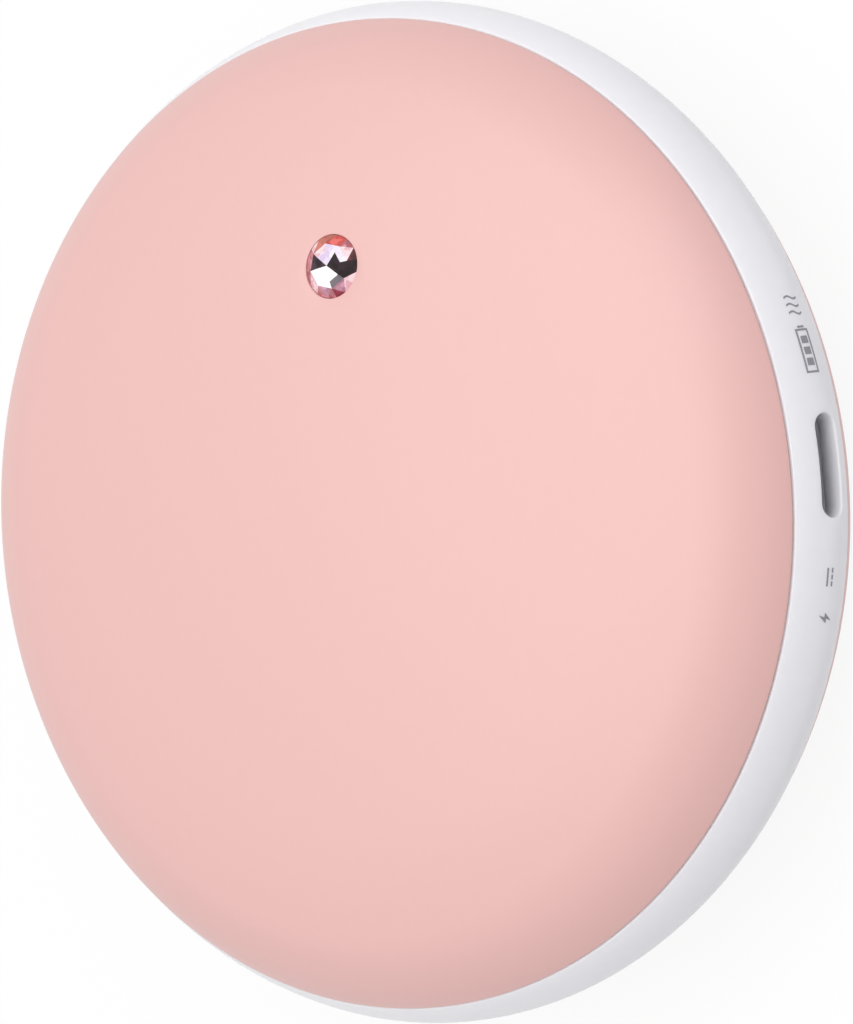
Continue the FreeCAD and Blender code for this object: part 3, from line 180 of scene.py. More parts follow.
def add(tree, kind, inputs=None, **settings):
    """Add a node with its settings, and give each named input a value or a link."""
    made = tree.nodes.new(kind)
    for name, value in settings.items():
        setattr(made, name, value)
    for name, value in (inputs or {}).items():
        if isinstance(value, bpy.types.NodeSocket):
            tree.links.new(value, made.inputs[name])
        else:
            made.inputs[name].default_value = value
    return made


print("a middle grey on the screen is", round(linear("#808080")[0], 3), "in linear light")

# %% [markdown]
# No real surface is quite even. One function therefore makes every plain finish: a noise with the grain of
# the real surface, or stripes where the surface has tracks, moves colour, gloss and relief together.

# %% A finish with its grain
# Sockets of the Mix node while it mixes colours
MIX_FACTOR = 0
MIX_A = 6
MIX_B = 7
MIX_RESULT = 2
# Width of one stripe of the Wave node while its scale is one
WAVE_WIDTH = pi / 10
NOISE_DETAIL = 4.0
BUMP_STRENGTH = 0.5


def blank_tree(name):
    """New material with an empty net of nodes."""
    material = bpy.data.materials.new(name)
    material.use_nodes = True
    material.node_tree.nodes.clear()
    return material, material.node_tree


def finish(name, colour, shade, grain, roughness, swing, relief,
           stretch=(1, 1, 1), striped=False, **sockets):
    """Surface whose colour, gloss and relief drift together, with a grain and relief in millimetres."""
    material, tree = blank_tree(name)
    place = add(tree, "ShaderNodeTexCoord").outputs["Object"]
    place = add(tree, "ShaderNodeMapping", {"Vector": place, "Scale": stretch}).outputs["Vector"]
    if striped:
        pattern = add(tree, "ShaderNodeTexWave", {"Vector": place, "Scale": WAVE_WIDTH / (grain * MM)})
    else:
        pattern = add(tree, "ShaderNodeTexNoise",
                      {"Vector": place, "Scale": 1 / (grain * MM), "Detail": NOISE_DETAIL})
    drift = pattern.outputs["Fac"]
    paint = add(tree, "ShaderNodeMix", {MIX_FACTOR: drift, MIX_A: linear(colour), MIX_B: linear(shade)},
                data_type="RGBA")
    gloss = add(tree, "ShaderNodeMapRange",
                {"Value": drift, "To Min": roughness - swing, "To Max": roughness + swing})
    bump = add(tree, "ShaderNodeBump", {"Height": drift, "Distance": relief * MM, "Strength": BUMP_STRENGTH})
    shader = add(tree, "ShaderNodeBsdfPrincipled",
                 {"Base Color": paint.outputs[MIX_RESULT], "Roughness": gloss.outputs["Result"],
                  "Normal": bump.outputs["Normal"], **sockets})
    add(tree, "ShaderNodeOutputMaterial", {"Surface": shader.outputs["BSDF"]})
    print("finish", name)
    return material


# %% [markdown]
# The pebble lies on a plain pale table in a room with soft light from all round. The table is drawn white
# for the camera and for reflections only, so it needs no extra light on the object. A share of its real
# shading is kept, so that the shadow under the pebble stays.

# %% Room and table
AMBIENT = 0.66
# Half a side of the table, in metres, and its drop below the pebble, in millimetres
TABLE_SIZE = 4.0
TABLE_DROP = 0.01
TABLE_WHITENESS = 0.9
# The table as the camera sees it, and the duller tone that it throws back on to the pebble
TABLE_SEEN = "#F8F8F9"
TABLE_BOUNCE = "#BEBEC1"


def seen_directly(tree):
    """One where a ray comes from the camera, a reflection or clear glass, and zero elsewhere."""
    path = add(tree, "ShaderNodeLightPath").outputs
    seen = path["Is Camera Ray"]
    for other in ("Is Glossy Ray", "Is Transmission Ray"):
        seen = add(tree, "ShaderNodeMath", {0: seen, 1: path[other]}, operation="MAXIMUM").outputs[0]
    return seen


def light_room():
    world = bpy.data.worlds.new("soft_room")
    world.use_nodes = True
    world.node_tree.nodes.clear()
    tree = world.node_tree
    level = add(tree, "ShaderNodeMapRange",
                {"Value": seen_directly(tree), "To Min": AMBIENT, "To Max": 1.0})
    room = add(tree, "ShaderNodeBackground", {"Color": (1, 1, 1, 1), "Strength": level.outputs["Result"]})
    add(tree, "ShaderNodeOutputWorld", {"Surface": room.outputs["Background"]})
    scene.world = world
    print("room light", AMBIENT)


def lay_table():
    material, tree = blank_tree("pale_table")
    white = add(tree, "ShaderNodeEmission", {"Color": (1, 1, 1, 1), "Strength": 1.0})
    seen = seen_directly(tree)
    tone = add(tree, "ShaderNodeMix",
               {MIX_FACTOR: seen, MIX_A: linear(TABLE_BOUNCE), MIX_B: linear(TABLE_SEEN)}, data_type="RGBA")
    matt = add(tree, "ShaderNodeBsdfDiffuse", {"Color": tone.outputs[MIX_RESULT]})
    share = add(tree, "ShaderNodeMath", {0: seen, 1: TABLE_WHITENESS}, operation="MULTIPLY")
    top = add(tree, "ShaderNodeMixShader", {0: share.outputs[0], 1: matt.outputs[0], 2: white.outputs[0]})
    add(tree, "ShaderNodeOutputMaterial", {"Surface": top.outputs[0]})
    bm = bmesh.new()
    bmesh.ops.create_grid(bm, size=TABLE_SIZE, matrix=Matrix.Translation((0, 0, -TABLE_DROP * MM)))
    mesh = bpy.data.meshes.new("table")
    bm.to_mesh(mesh)
    bm.free()
    mesh.materials.append(material)
    table = bpy.data.objects.new("table", mesh)
    scene.collection.objects.link(table)


light_room()
lay_table()

# %% [markdown]
# One large round lamp hangs nearly straight above the front cover and gives its broad, soft highlight. A
# smaller one on the port's side brightens the band. A lamp's brightness is set by the radiance of its
# surface, so that its size can change without a change of its look in a reflection.

# %% Lamps
# Distances and sizes of the lamps are in metres
LAMP_TILT = radians(8.0)
LAMP_TURN = radians(88.0)
LAMP_DISTANCE = 0.9
LAMP_SIZE = 1.26
LAMP_RADIANCE = 1.12
SIDE_TILT = radians(52.0)
SIDE_TURN = radians(50.0)
SIDE_SIZE = 0.5
SIDE_RADIANCE = 1.2


def hang_lamp(name, tilt, turn, size, radiance):
    """Round soft lamp with a given radiance, hung at a tilt from the axis and facing the object."""
    lamp = bpy.data.lights.new(name, "AREA")
    lamp.shape = "DISK"
    lamp.size = size
    area = pi * (size / 2) ** 2
    lamp.energy = radiance * pi * area
    hung = bpy.data.objects.new(name, lamp)
    toward = Vector((sin(tilt) * cos(turn), sin(tilt) * sin(turn), cos(tilt)))
    hung.location = toward * LAMP_DISTANCE
    hung.rotation_euler = toward.to_track_quat("Z", "Y").to_euler()
    scene.collection.objects.link(hung)
    print(name, round(lamp.energy, 2), "W")


hang_lamp("soft_lamp", LAMP_TILT, LAMP_TURN, LAMP_SIZE, LAMP_RADIANCE)
hang_lamp("side_lamp", SIDE_TILT, SIDE_TURN, SIDE_SIZE, SIDE_RADIANCE)

# %% [markdown]
# The covers are pressed aluminium with a satin pink paint. Sprayed paint is never quite flat: a faint
# ripple, about a millimetre wide, breaks up the reflections and gives the soft, powdery sheen.

# %% Satin pink paint
# Gives the eye a powdery pink with a broad, faint highlight and no sharp reflection
PINK_PAINT = finish("satin_pink_paint_on_aluminium", "#E7B5B0", "#E5B3AE",
                    grain=0.9, roughness=0.5, swing=0.03, relief=0.0012,
                    **{"Specular IOR Level": 1.0, "Coat Weight": 0.3, "Coat Roughness": 0.3})

# %% [markdown]
# A bmesh here is drawn in millimetres and scaled down when it becomes an object, so that the sizes in
# the code are the ones on the drawing. Weighted normals keep the wide faces true beside the small
# rounded edges.

# %% From a drawing to a piece
MERGE_GAP = 0.001
EDGE_SEGMENTS = 3
SHARP_TURN = radians(30.0)


def join(bm):
    """Merge points that fall together and turn all faces outwards."""
    bmesh.ops.remove_doubles(bm, verts=bm.verts, dist=MERGE_GAP)
    bmesh.ops.recalc_face_normals(bm, faces=bm.faces)


def open_edges(bm, chosen):
    """Edges with a face on one side only, if the rule chooses the place of their first end."""
    return [edge for edge in bm.edges if edge.is_boundary and chosen(edge.verts[0].co)]


def sharp_edges(bm, chosen):
    """Edges where the surface turns a corner, if the rule chooses the place of their first end."""
    turned = [edge for edge in bm.edges if edge.calc_face_angle(0.0) > SHARP_TURN]
    return [edge for edge in turned if chosen(edge.verts[0].co)]


def round_edges(bm, edges, radius):
    bmesh.ops.bevel(bm, geom=edges, offset=radius, offset_type="OFFSET", segments=EDGE_SEGMENTS,
                    profile=0.5, affect="EDGES", clamp_overlap=True, material=-1)


def piece_from(bm, name, body, material, replaced=(), smooth=True):
    """Object at the origin that holds the drawing, rides on a body and stands for the replaced nodes."""
    bmesh.ops.scale(bm, vec=(MM, MM, MM), verts=bm.verts)
    for face in bm.faces:
        face.smooth = smooth
    mesh = bpy.data.meshes.new(name)
    bm.to_mesh(mesh)
    bm.free()
    mesh.materials.append(material)
    piece = bpy.data.objects.new(name, mesh)
    scene.collection.objects.link(piece)
    if smooth:
        piece.modifiers.new("even_shading", "WEIGHTED_NORMAL")
    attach(piece, body)
    if replaced:
        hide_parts(*replaced)
    print(name, len(mesh.polygons), "faces")


print("points within", MERGE_GAP, "mm merge, and a rounded edge has", EDGE_SEGMENTS, "steps")

# %% [markdown]
# The front cover is a dome with one hole for the stone. A spun dome would need the hole cut into it, so
# the crown is drawn in plan instead: the hole and a wide circle are bridged and divided, and each point is
# lifted to the outline's height.

# %% Crown with the stone's hole
SEGMENTS = 192
CROWN_EDGE = 30.0
CROWN_RINGS = 26
HOLE_RADIUS = 2.71
BUTTON_RADIUS = 21.25
BUTTON_ANGLE = radians(79.8)
BUTTON = BUTTON_RADIUS * Vector((cos(BUTTON_ANGLE), sin(BUTTON_ANGLE), 0.0))


def lift(verts, inset):
    """Move points up or down to the dome, or to a face that lies inside it by the inset."""
    for vert in verts:
        vert.co.z = EQUATOR + height_at_radius(hypot(vert.co.x, vert.co.y), inset)


def crown_with_hole(bm, inset):
    """Crown out to the wide circle, with the stone's hole, lifted from a plan at height zero."""
    hole = bmesh.ops.create_circle(bm, segments=SEGMENTS, radius=HOLE_RADIUS,
                                   matrix=Matrix.Translation(BUTTON))
    wide = bmesh.ops.create_circle(bm, segments=SEGMENTS, radius=CROWN_EDGE)
    loops = {edge for vert in hole["verts"] + wide["verts"] for edge in vert.link_edges}
    spokes = bmesh.ops.bridge_loops(bm, edges=list(loops))["edges"]
    bmesh.ops.subdivide_edges(bm, edges=spokes, cuts=CROWN_RINGS, use_grid_fill=True)
    lift([vert for vert in bm.verts if vert.co.z == 0.0], inset)


print("stone's place in plan, in mm", [round(part, 2) for part in BUTTON.xy])

# %% [markdown]
# The steep flank outside the wide circle is one spin: out along the outer face, round the rim and back along
# the inner face, which is moved in by the wall. Towards the seam the outer face dips a little, so that the
# rounded rims of covers and band meet in a fine, dark line.

# %% Flanks by a spin
FLANK_RINGS = 26
COVER_WALL = 1.2
SEAM_DIP = 0.14
DIP_POWER = 4
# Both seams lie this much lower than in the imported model, as the photograph shows
SEAM_SETTLE = 0.18
FRONT_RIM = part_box("front_cover")[0].z / MM - EQUATOR - SEAM_SETTLE


def steps(first, last, count):
    return [first + (last - first) * k / count for k in range(count + 1)]


def spin_profile(bm, places):
    """Spin points of the XZ plane round the axis."""
    verts = [bm.verts.new((radius, 0.0, height)) for radius, height in places]
    edges = [bm.edges.new(pair) for pair in zip(verts, verts[1:])]
    bmesh.ops.spin(bm, geom=verts + edges, axis=(0, 0, 1), cent=(0, 0, 0), angle=2 * pi, steps=SEGMENTS,
                   use_merge=True)


def flank_places(side, rim, start, inset, dip=0.0):
    """Points of the outline from a normal angle to a rim's height, drawn in by a dip towards the seam."""
    last = angle_at_height(rim, inset)
    places = []
    for share in steps(0.0, 1.0, FLANK_RINGS):
        place = outline_place(start + (last - start) * share, inset)
        places.append((place.x - dip * share ** DIP_POWER, EQUATOR + side * place.y))
    return places


print("front rim", round(FRONT_RIM, 2), "mm above the widest plane")

# %% [markdown]
# Now the front cover is put together. The edge of the hole is extruded down through the wall to meet the
# inner crown, the flank closes the rest, and the rim and the hole get their small rounds.

# %% Front cover
RIM_ROUND = 0.17
HOLE_ROUND = 0.06


def fresh_points(geom):
    """The points among the parts that an operator made."""
    return [part for part in geom if isinstance(part, bmesh.types.BMVert)]


def extruded_loop(bm, edges):
    """Extrude a loop of edges in place; returns the new loop's points and edges."""
    geom = bmesh.ops.extrude_edge_only(bm, edges=edges)["geom"]
    points = fresh_points(geom)
    fresh = set(points)
    loop = [part for part in geom if isinstance(part, bmesh.types.BMEdge) and set(part.verts) <= fresh]
    return points, loop


def by_the_stone(place):
    return hypot(place.x - BUTTON.x, place.y - BUTTON.y) < HOLE_RADIUS + MERGE_GAP


def front_cover():
    bm = bmesh.new()
    crown_with_hole(bm, 0.0)
    points, _ = extruded_loop(bm, open_edges(bm, by_the_stone))
    lift(points, COVER_WALL)
    crown_with_hole(bm, COVER_WALL)
    outer = flank_places(1, FRONT_RIM, angle_at_radius(CROWN_EDGE), 0.0, SEAM_DIP)
    inner = flank_places(1, FRONT_RIM, angle_at_radius(CROWN_EDGE, COVER_WALL), COVER_WALL)
    spin_profile(bm, outer + inner[::-1])
    join(bm)
    round_edges(bm, sharp_edges(bm, lambda place: not by_the_stone(place)), RIM_ROUND)
    round_edges(bm, sharp_edges(bm, by_the_stone), HOLE_ROUND)
    piece_from(bm, "front_cover_shell", "body", PINK_PAINT, ["front_cover"])


front_cover()

# %% [markdown]
# The rear cover has no hole, so it is a single spin: a flat to rest on, then the same arcs upside down to
# the rim, and back along the inner face. The points on the axis fall together and are merged into a pole.

# %% Rear cover
FLAT_RINGS = 4
REAR_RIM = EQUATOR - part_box("rear_cover")[1].z / MM + SEAM_SETTLE


def rear_places(inset, dip=0.0):
    """Points from the axis along the rest flat and up the flank, moved in by the wall."""
    crown, radius, _ = ARCS[0]
    flat_end = degrees(acos((EQUATOR - inset - crown.y) / (radius - inset)))
    flank = flank_places(-1, REAR_RIM, flat_end, inset, dip)
    return [(flank[0][0] * share, inset) for share in steps(0.0, 1.0, FLAT_RINGS)] + flank[1:]


def rear_cover():
    bm = bmesh.new()
    spin_profile(bm, rear_places(0.0, SEAM_DIP) + rear_places(COVER_WALL)[::-1])
    join(bm)
    round_edges(bm, sharp_edges(bm, lambda place: place.z > 0.0), RIM_ROUND)
    piece_from(bm, "rear_cover_shell", "body", PINK_PAINT, ["rear_cover"])


rear_cover()

# %% [markdown]
# The band is moulded ABS with a satin surface. Light goes a little way into a white plastic and comes out
# beside the place where it went in, so a little scatter keeps the shaded side of the curve clean.

# %% Satin white ABS
# Gives the eye a clean, cool white with a soft gleam along the curve
WHITE_ABS = finish("satin_white_abs", "#F7F6FC", "#F3F2F9",
                   grain=1.1, roughness=0.3, swing=0.04, relief=0.001,
                   **{"Specular IOR Level": 1.0, "Subsurface Weight": 0.4, "Subsurface Scale": 0.6 * MM,
                      "Subsurface Radius": (1.0, 1.0, 1.0)})

# %% [markdown]
# The band fills the room between the covers and has the slot for the charging socket. Its outer face follows
# the same outline and dips at both seams just under the covers' rims, because a step that faces the
# light would show as a bright line.

# %% Sizes of the band and its slot
SEAM_GAP = 0.16
BAND_WALL = 1.6
BAND_DIP = 0.17
SLOT_LENGTH = 8.6
SLOT_HEIGHT = 2.45
SLOT_WALL = 1.75
SHELL_WIDTH = 8.94
BAND_LOW = EQUATOR - REAR_RIM + SEAM_GAP
BAND_HIGH = EQUATOR + FRONT_RIM - SEAM_GAP
BAND_BORE = outline_place(angle_at_height(FRONT_RIM)).x - BAND_WALL
shell_low, shell_high = (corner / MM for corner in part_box("port_shell"))
SHELL_HEIGHT = shell_high.z - shell_low.z
PORT_HEIGHT = (shell_low.z + shell_high.z) / 2


def outer_radius(height):
    """Radius of the band's outer face, which dips just under the covers' rims at both seams."""
    rise = abs(height - EQUATOR)
    return outline_place(angle_at_height(rise)).x - BAND_DIP * (rise / FRONT_RIM) ** DIP_POWER


def bore_radius(height):
    """Radius of the band's inner face, which is straight and so the same at every height."""
    return BAND_BORE


SLOT_FLOOR = outer_radius(PORT_HEIGHT) - SLOT_WALL
print("band from", round(BAND_LOW, 2), "to", round(BAND_HIGH, 2), "mm, port at", round(PORT_HEIGHT, 2))

# %% [markdown]
# Round the slot a panel is drawn flat, as a rectangle and a pill with as many points, which are bridged and
# divided. The panel is then wrapped on to the band, and its end is spun round to its other end, so the slot
# needs no cut.

# %% Panel with the slot
PANEL_HALF = 8.0
PANEL_CUTS = 4
ACROSS_CUTS = 19
ALONG_CUTS = 23
# Points of a flat drawing wait at this X, far outside the pebble, until they are wrapped
FLAT_PLACE = -100.0


def flat_loop(bm, half_length, low, high):
    """Loop of a rectangle on the flat sheet: the edges of its two upright ends, and those of its runs."""
    corners = [(half_length, low), (half_length, high), (-half_length, high), (-half_length, low)]
    verts = [bm.verts.new((FLAT_PLACE, y, z)) for y, z in corners]
    sides = [bm.edges.new((verts[k], verts[(k + 1) % 4])) for k in range(4)]
    parts = []
    for edges, cuts in ((sides[0::2], ACROSS_CUTS), (sides[1::2], ALONG_CUTS)):
        parts.append([])
        for edge in edges:
            cut = bmesh.ops.subdivide_edges(bm, edges=[edge], cuts=cuts)["geom_split"]
            parts[-1].append([part for part in cut if isinstance(part, bmesh.types.BMEdge)])
    return parts[0][0], parts[0][1], parts[1][0] + parts[1][1]


def verts_of(edges):
    return list({vert for edge in edges for vert in edge.verts})


def pill_loop(bm, length, height):
    """Loop with round ends about the port's middle, in true Y and Z."""
    radius = height / 2
    reach = length / 2 - radius
    right, left, runs = flat_loop(bm, reach, PORT_HEIGHT - radius, PORT_HEIGHT + radius)
    for side, end in ((1, right), (-1, left)):
        for vert in verts_of(end):
            angle = (vert.co.z - PORT_HEIGHT) / radius * pi / 2
            vert.co.y = side * (reach + radius * cos(angle))
            vert.co.z = PORT_HEIGHT + radius * sin(angle)
    return right + left + runs


def band_skin(bm, radius_at, slot_length, slot_height):
    """One face of the band with its slot, wrapped from a flat panel and spun round."""
    right, left, runs = flat_loop(bm, PANEL_HALF, BAND_LOW, BAND_HIGH)
    slot = pill_loop(bm, slot_length, slot_height)
    for vert in verts_of(slot):
        vert.co.y = BODY_RADIUS * asin(vert.co.y / radius_at(vert.co.z))
    spokes = bmesh.ops.bridge_loops(bm, edges=right + left + runs + slot)["edges"]
    bmesh.ops.subdivide_edges(bm, edges=spokes, cuts=PANEL_CUTS, use_grid_fill=True)
    for vert in [vert for vert in bm.verts if vert.co.x == FLAT_PLACE]:
        angle = vert.co.y / BODY_RADIUS
        radius = radius_at(vert.co.z)
        vert.co.x = radius * cos(angle)
        vert.co.y = radius * sin(angle)
    bmesh.ops.spin(bm, geom=verts_of(right) + right, axis=(0, 0, 1), cent=(0, 0, 0),
                   angle=2 * pi - 2 * PANEL_HALF / BODY_RADIUS, steps=SEGMENTS)


print("panel", 2 * PANEL_HALF, "mm long, slot", SLOT_LENGTH, "by", SLOT_HEIGHT, "mm")

# %% [markdown]
# The outer and the inner face are both such skins, joined along the seams. The slot goes straight in to a
# ledge and opens there into a pocket for the socket's steel shell, and its mouth is rounded.

# %% White band with the slot
BAND_ROUND = 0.04
SLOT_ROUND = 0.2
POCKET_MARGIN = 0.25


def in_the_slot(place):
    between_seams = BAND_LOW + MERGE_GAP < place.z < BAND_HIGH - MERGE_GAP
    return between_seams and place.x > 0.0 and abs(place.y) < SLOT_LENGTH


def off_the_bore(place):
    return hypot(place.x, place.y) > BAND_BORE + MERGE_GAP


def at_a_seam(place):
    return off_the_bore(place) and not in_the_slot(place)


def at_the_mouth(place):
    return place.x > SLOT_FLOOR + MERGE_GAP and in_the_slot(place)


def white_band():
    bm = bmesh.new()
    pocket_length = SHELL_WIDTH + 2 * POCKET_MARGIN
    pocket_height = SHELL_HEIGHT + 2 * POCKET_MARGIN
    band_skin(bm, outer_radius, SLOT_LENGTH, SLOT_HEIGHT)
    bmesh.ops.remove_doubles(bm, verts=bm.verts, dist=MERGE_GAP)
    points, _ = extruded_loop(bm, open_edges(bm, lambda place: not in_the_slot(place)))
    for vert in points:
        vert.co.xy *= BAND_BORE / hypot(vert.co.x, vert.co.y)
    band_skin(bm, bore_radius, pocket_length, pocket_height)
    join(bm)
    slot = open_edges(bm, off_the_bore)
    pocket = open_edges(bm, lambda place: not off_the_bore(place))
    points, wall = extruded_loop(bm, slot)
    for vert in points:
        vert.co.x = SLOT_FLOOR
    points, ledge = extruded_loop(bm, wall)
    for vert in points:
        vert.co.y *= pocket_length / SLOT_LENGTH
        vert.co.z = PORT_HEIGHT + (vert.co.z - PORT_HEIGHT) * pocket_height / SLOT_HEIGHT
    bmesh.ops.bridge_loops(bm, edges=ledge + pocket)
    join(bm)
    round_edges(bm, sharp_edges(bm, at_a_seam), BAND_ROUND)
    round_edges(bm, sharp_edges(bm, at_the_mouth), SLOT_ROUND)
    piece_from(bm, "white_band", "body", WHITE_ABS, ["middle_ring"])


white_band()

# %% [markdown]
# Inside the band a web carries the main board, six walls that the covers hook on to, and bosses for the
# screws of the plates. None of it shows when the covers are on, so it is drawn plainly: a plate with a
# window for the cell, bridged from two loops, and walls and bosses that stand through it.

# %% Web inside the band
WEB_THICKNESS = 1.2
WINDOW_GAP = 0.3
WINDOW_CORNER = 3.3
NOTCH_GAP = 0.2
HOOK_WALLS = 6
HOOK_FIRST = radians(30.0)
HOOK_SPAN = radians(10.0)
HOOK_STEPS = 6
HOOK_INNER = 37.2
HOOK_OUTER = 38.5
HOOK_RISE = 5.0
HOOK_DROP = 3.6
BOSS_RADIUS = 2.1
BOSS_SIDES = 32
WEB_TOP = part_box("main_board")[0].z / MM


def web_plate(bm):
    """Plate from the band to the cell's window, dented where the socket lies."""
    half_x, half_y = (side / MM + WINDOW_GAP - WINDOW_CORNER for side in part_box("battery_cell")[1].xy)
    rim = bmesh.ops.create_circle(bm, segments=SEGMENTS, radius=BAND_BORE)["verts"]
    window = bmesh.ops.create_circle(bm, segments=SEGMENTS, radius=WINDOW_CORNER)["verts"]
    for vert in window:
        if abs(vert.co.x) > MERGE_GAP:
            vert.co.x += copysign(half_x, vert.co.x)
        if abs(vert.co.y) > MERGE_GAP:
            vert.co.y += copysign(half_y, vert.co.y)
    loops = {edge for vert in rim + window for edge in vert.link_edges}
    bmesh.ops.bridge_loops(bm, edges=list(loops))
    for vert in bm.verts:
        if vert.co.x > shell_low.x and abs(vert.co.y) < SHELL_WIDTH / 2 + NOTCH_GAP:
            vert.co.x = shell_low.x - NOTCH_GAP
    lower = fresh_points(bmesh.ops.extrude_face_region(bm, geom=bm.faces[:])["geom"])
    bmesh.ops.translate(bm, vec=(0, 0, -WEB_THICKNESS), verts=lower)
    bmesh.ops.translate(bm, vec=(0, 0, WEB_TOP), verts=bm.verts)


def hook_wall(bm, middle):
    low = WEB_TOP - WEB_THICKNESS - HOOK_DROP
    high = WEB_TOP + HOOK_RISE
    corners = ((HOOK_INNER, low), (HOOK_OUTER, low), (HOOK_OUTER, high), (HOOK_INNER, high))
    turn = Matrix.Rotation(middle - HOOK_SPAN / 2, 3, "Z")
    face = bm.faces.new([bm.verts.new(turn @ Vector((radius, 0.0, height))) for radius, height in corners])
    bmesh.ops.spin(bm, geom=[face], axis=(0, 0, 1), cent=(0, 0, 0), angle=HOOK_SPAN, steps=HOOK_STEPS)


def screw_bosses(bm):
    """Four posts between the plates, in line with the screws of the lid."""
    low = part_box("battery_tray")[1].z / MM
    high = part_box("battery_lid")[0].z / MM
    board_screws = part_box("board_screws")
    head = (board_screws[1].x - board_screws[0].x) / 2 / MM
    reach_x, reach_y = (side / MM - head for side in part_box("lid_screws")[1].xy)
    for x in (-reach_x, reach_x):
        for y in (-reach_y, reach_y):
            bmesh.ops.create_cone(bm, cap_ends=True, segments=BOSS_SIDES, radius1=BOSS_RADIUS,
                                  radius2=BOSS_RADIUS, depth=high - low,
                                  matrix=Matrix.Translation((x, y, (low + high) / 2)))


def ring_web():
    bm = bmesh.new()
    web_plate(bm)
    for k in range(HOOK_WALLS):
        hook_wall(bm, HOOK_FIRST + 2 * pi * k / HOOK_WALLS)
    screw_bosses(bm)
    bmesh.ops.recalc_face_normals(bm, faces=bm.faces)
    piece_from(bm, "ring_web", "body", WHITE_ABS, ["middle_ring"])


ring_web()

# %% [markdown]
# Small grey signs stand in a row on the band: a battery and rising heat above the port, and the signs for
# direct current and charging below it. They could be cut from a picture, but a few strokes each are enough.
# They are drawn flat first, and their sizes are counted in widths of a stroke.

# %% Drawing of the signs
STROKE = 0.17
SIGN_HEIGHT = 1.4
ROW_RISE = 0.8
ROW_HEIGHT = EQUATOR + ROW_RISE
BATTERY_LENGTH = 3.8
WAVE_SIZE = 0.14
WAVE_CUTS = 10


def patch(bm, corners):
    """Flat patch of ink, from the way along the band and the height above the row's middle."""
    bm.faces.new([bm.verts.new((FLAT_PLACE, along, ROW_HEIGHT + rise)) for along, rise in corners])


def stroke(bm, along, rise, length, breadth=STROKE):
    corners = ((-1, -1), (1, -1), (1, 1), (-1, 1))
    patch(bm, [(along + x * length / 2, rise + y * breadth / 2) for x, y in corners])


def battery_sign(bm, along):
    for side in (-1, 1):
        stroke(bm, along, side * (SIGN_HEIGHT - STROKE) / 2, BATTERY_LENGTH)
        stroke(bm, along + side * (BATTERY_LENGTH - STROKE) / 2, 0.0, STROKE, SIGN_HEIGHT - 2 * STROKE)
    stroke(bm, along + BATTERY_LENGTH / 2 + STROKE, 0.0, STROKE, SIGN_HEIGHT / 2)
    for k in (-1, 0, 1):
        stroke(bm, along + k * BATTERY_LENGTH / 4, 0.0, BATTERY_LENGTH / 6, SIGN_HEIGHT - 4 * STROKE)


def heat_sign(bm, along):
    rises = steps(-SIGN_HEIGHT / 2, SIGN_HEIGHT / 2, WAVE_CUTS)
    for k in (-1, 0, 1):
        middle = along + k * 4 * STROKE
        line = [(middle + WAVE_SIZE * sin(2 * pi * rise / SIGN_HEIGHT), rise) for rise in rises]
        edge = [(place - STROKE / 2, rise) for place, rise in line]
        patch(bm, [(place + STROKE / 2, rise) for place, rise in line] + edge[::-1])


def current_sign(bm, along):
    stroke(bm, along, 1.5 * STROKE, 9 * STROKE)
    for k in (-1, 0, 1):
        stroke(bm, along + k * 3.3 * STROKE, -1.5 * STROKE, 2.4 * STROKE)


def bolt_sign(bm, along):
    half = [(1.2 * STROKE, SIGN_HEIGHT / 2), (-2.6 * STROKE, -0.6 * STROKE), (-0.3 * STROKE, -0.6 * STROKE)]
    patch(bm, [(along + x, y) for x, y in half] + [(along - x, -y) for x, y in half])


print("signs", SIGN_HEIGHT, "mm high in a row at", round(ROW_HEIGHT, 2), "mm")

# %% [markdown]
# Pad printing leaves a thin film of ink. The flat signs are therefore cut into small faces, which can follow
# the curve, then thickened to the film and wrapped on to the band's outer face.

# %% Signs on the band
# Gives the eye a soft, dull grey that is slightly uneven where the pad lifted
GREY_INK = finish("grey_pad_print_ink", "#96969C", "#8C8C93",
                  grain=0.25, roughness=0.5, swing=0.06, relief=0.0004)
INK_DEPTH = 0.012
PRINT_REACH = 16.0
PRINT_STEP = 0.25
# Places along the band, in millimetres from the port's middle
BATTERY_PLACE = 9.6
HEAT_PLACE = 13.6
CURRENT_PLACE = -9.2
BOLT_PLACE = -12.6


def cut_small(bm, normal, first, last):
    """Cut the drawing across a direction, once in each step from a first to a last place."""
    for place in steps(first, last, round((last - first) / PRINT_STEP)):
        bmesh.ops.bisect_plane(bm, geom=bm.verts[:] + bm.edges[:] + bm.faces[:], dist=MERGE_GAP,
                               plane_co=normal * place, plane_no=normal)


def printed_signs():
    bm = bmesh.new()
    battery_sign(bm, BATTERY_PLACE)
    heat_sign(bm, HEAT_PLACE)
    current_sign(bm, CURRENT_PLACE)
    bolt_sign(bm, BOLT_PLACE)
    cut_small(bm, Vector((0, 1, 0)), -PRINT_REACH, PRINT_REACH)
    cut_small(bm, Vector((0, 0, 1)), ROW_HEIGHT - SIGN_HEIGHT, ROW_HEIGHT + SIGN_HEIGHT)
    raised = fresh_points(bmesh.ops.extrude_face_region(bm, geom=bm.faces[:])["geom"])
    bmesh.ops.translate(bm, vec=(INK_DEPTH, 0, 0), verts=raised)
    for vert in bm.verts:
        radius = outer_radius(vert.co.z) + vert.co.x - FLAT_PLACE
        angle = vert.co.y / BODY_RADIUS
        vert.co.xy = (radius * cos(angle), radius * sin(angle))
    bmesh.ops.recalc_face_normals(bm, faces=bm.faces)
    piece_from(bm, "printed_signs", "body", GREY_INK, smooth=False)


printed_signs()
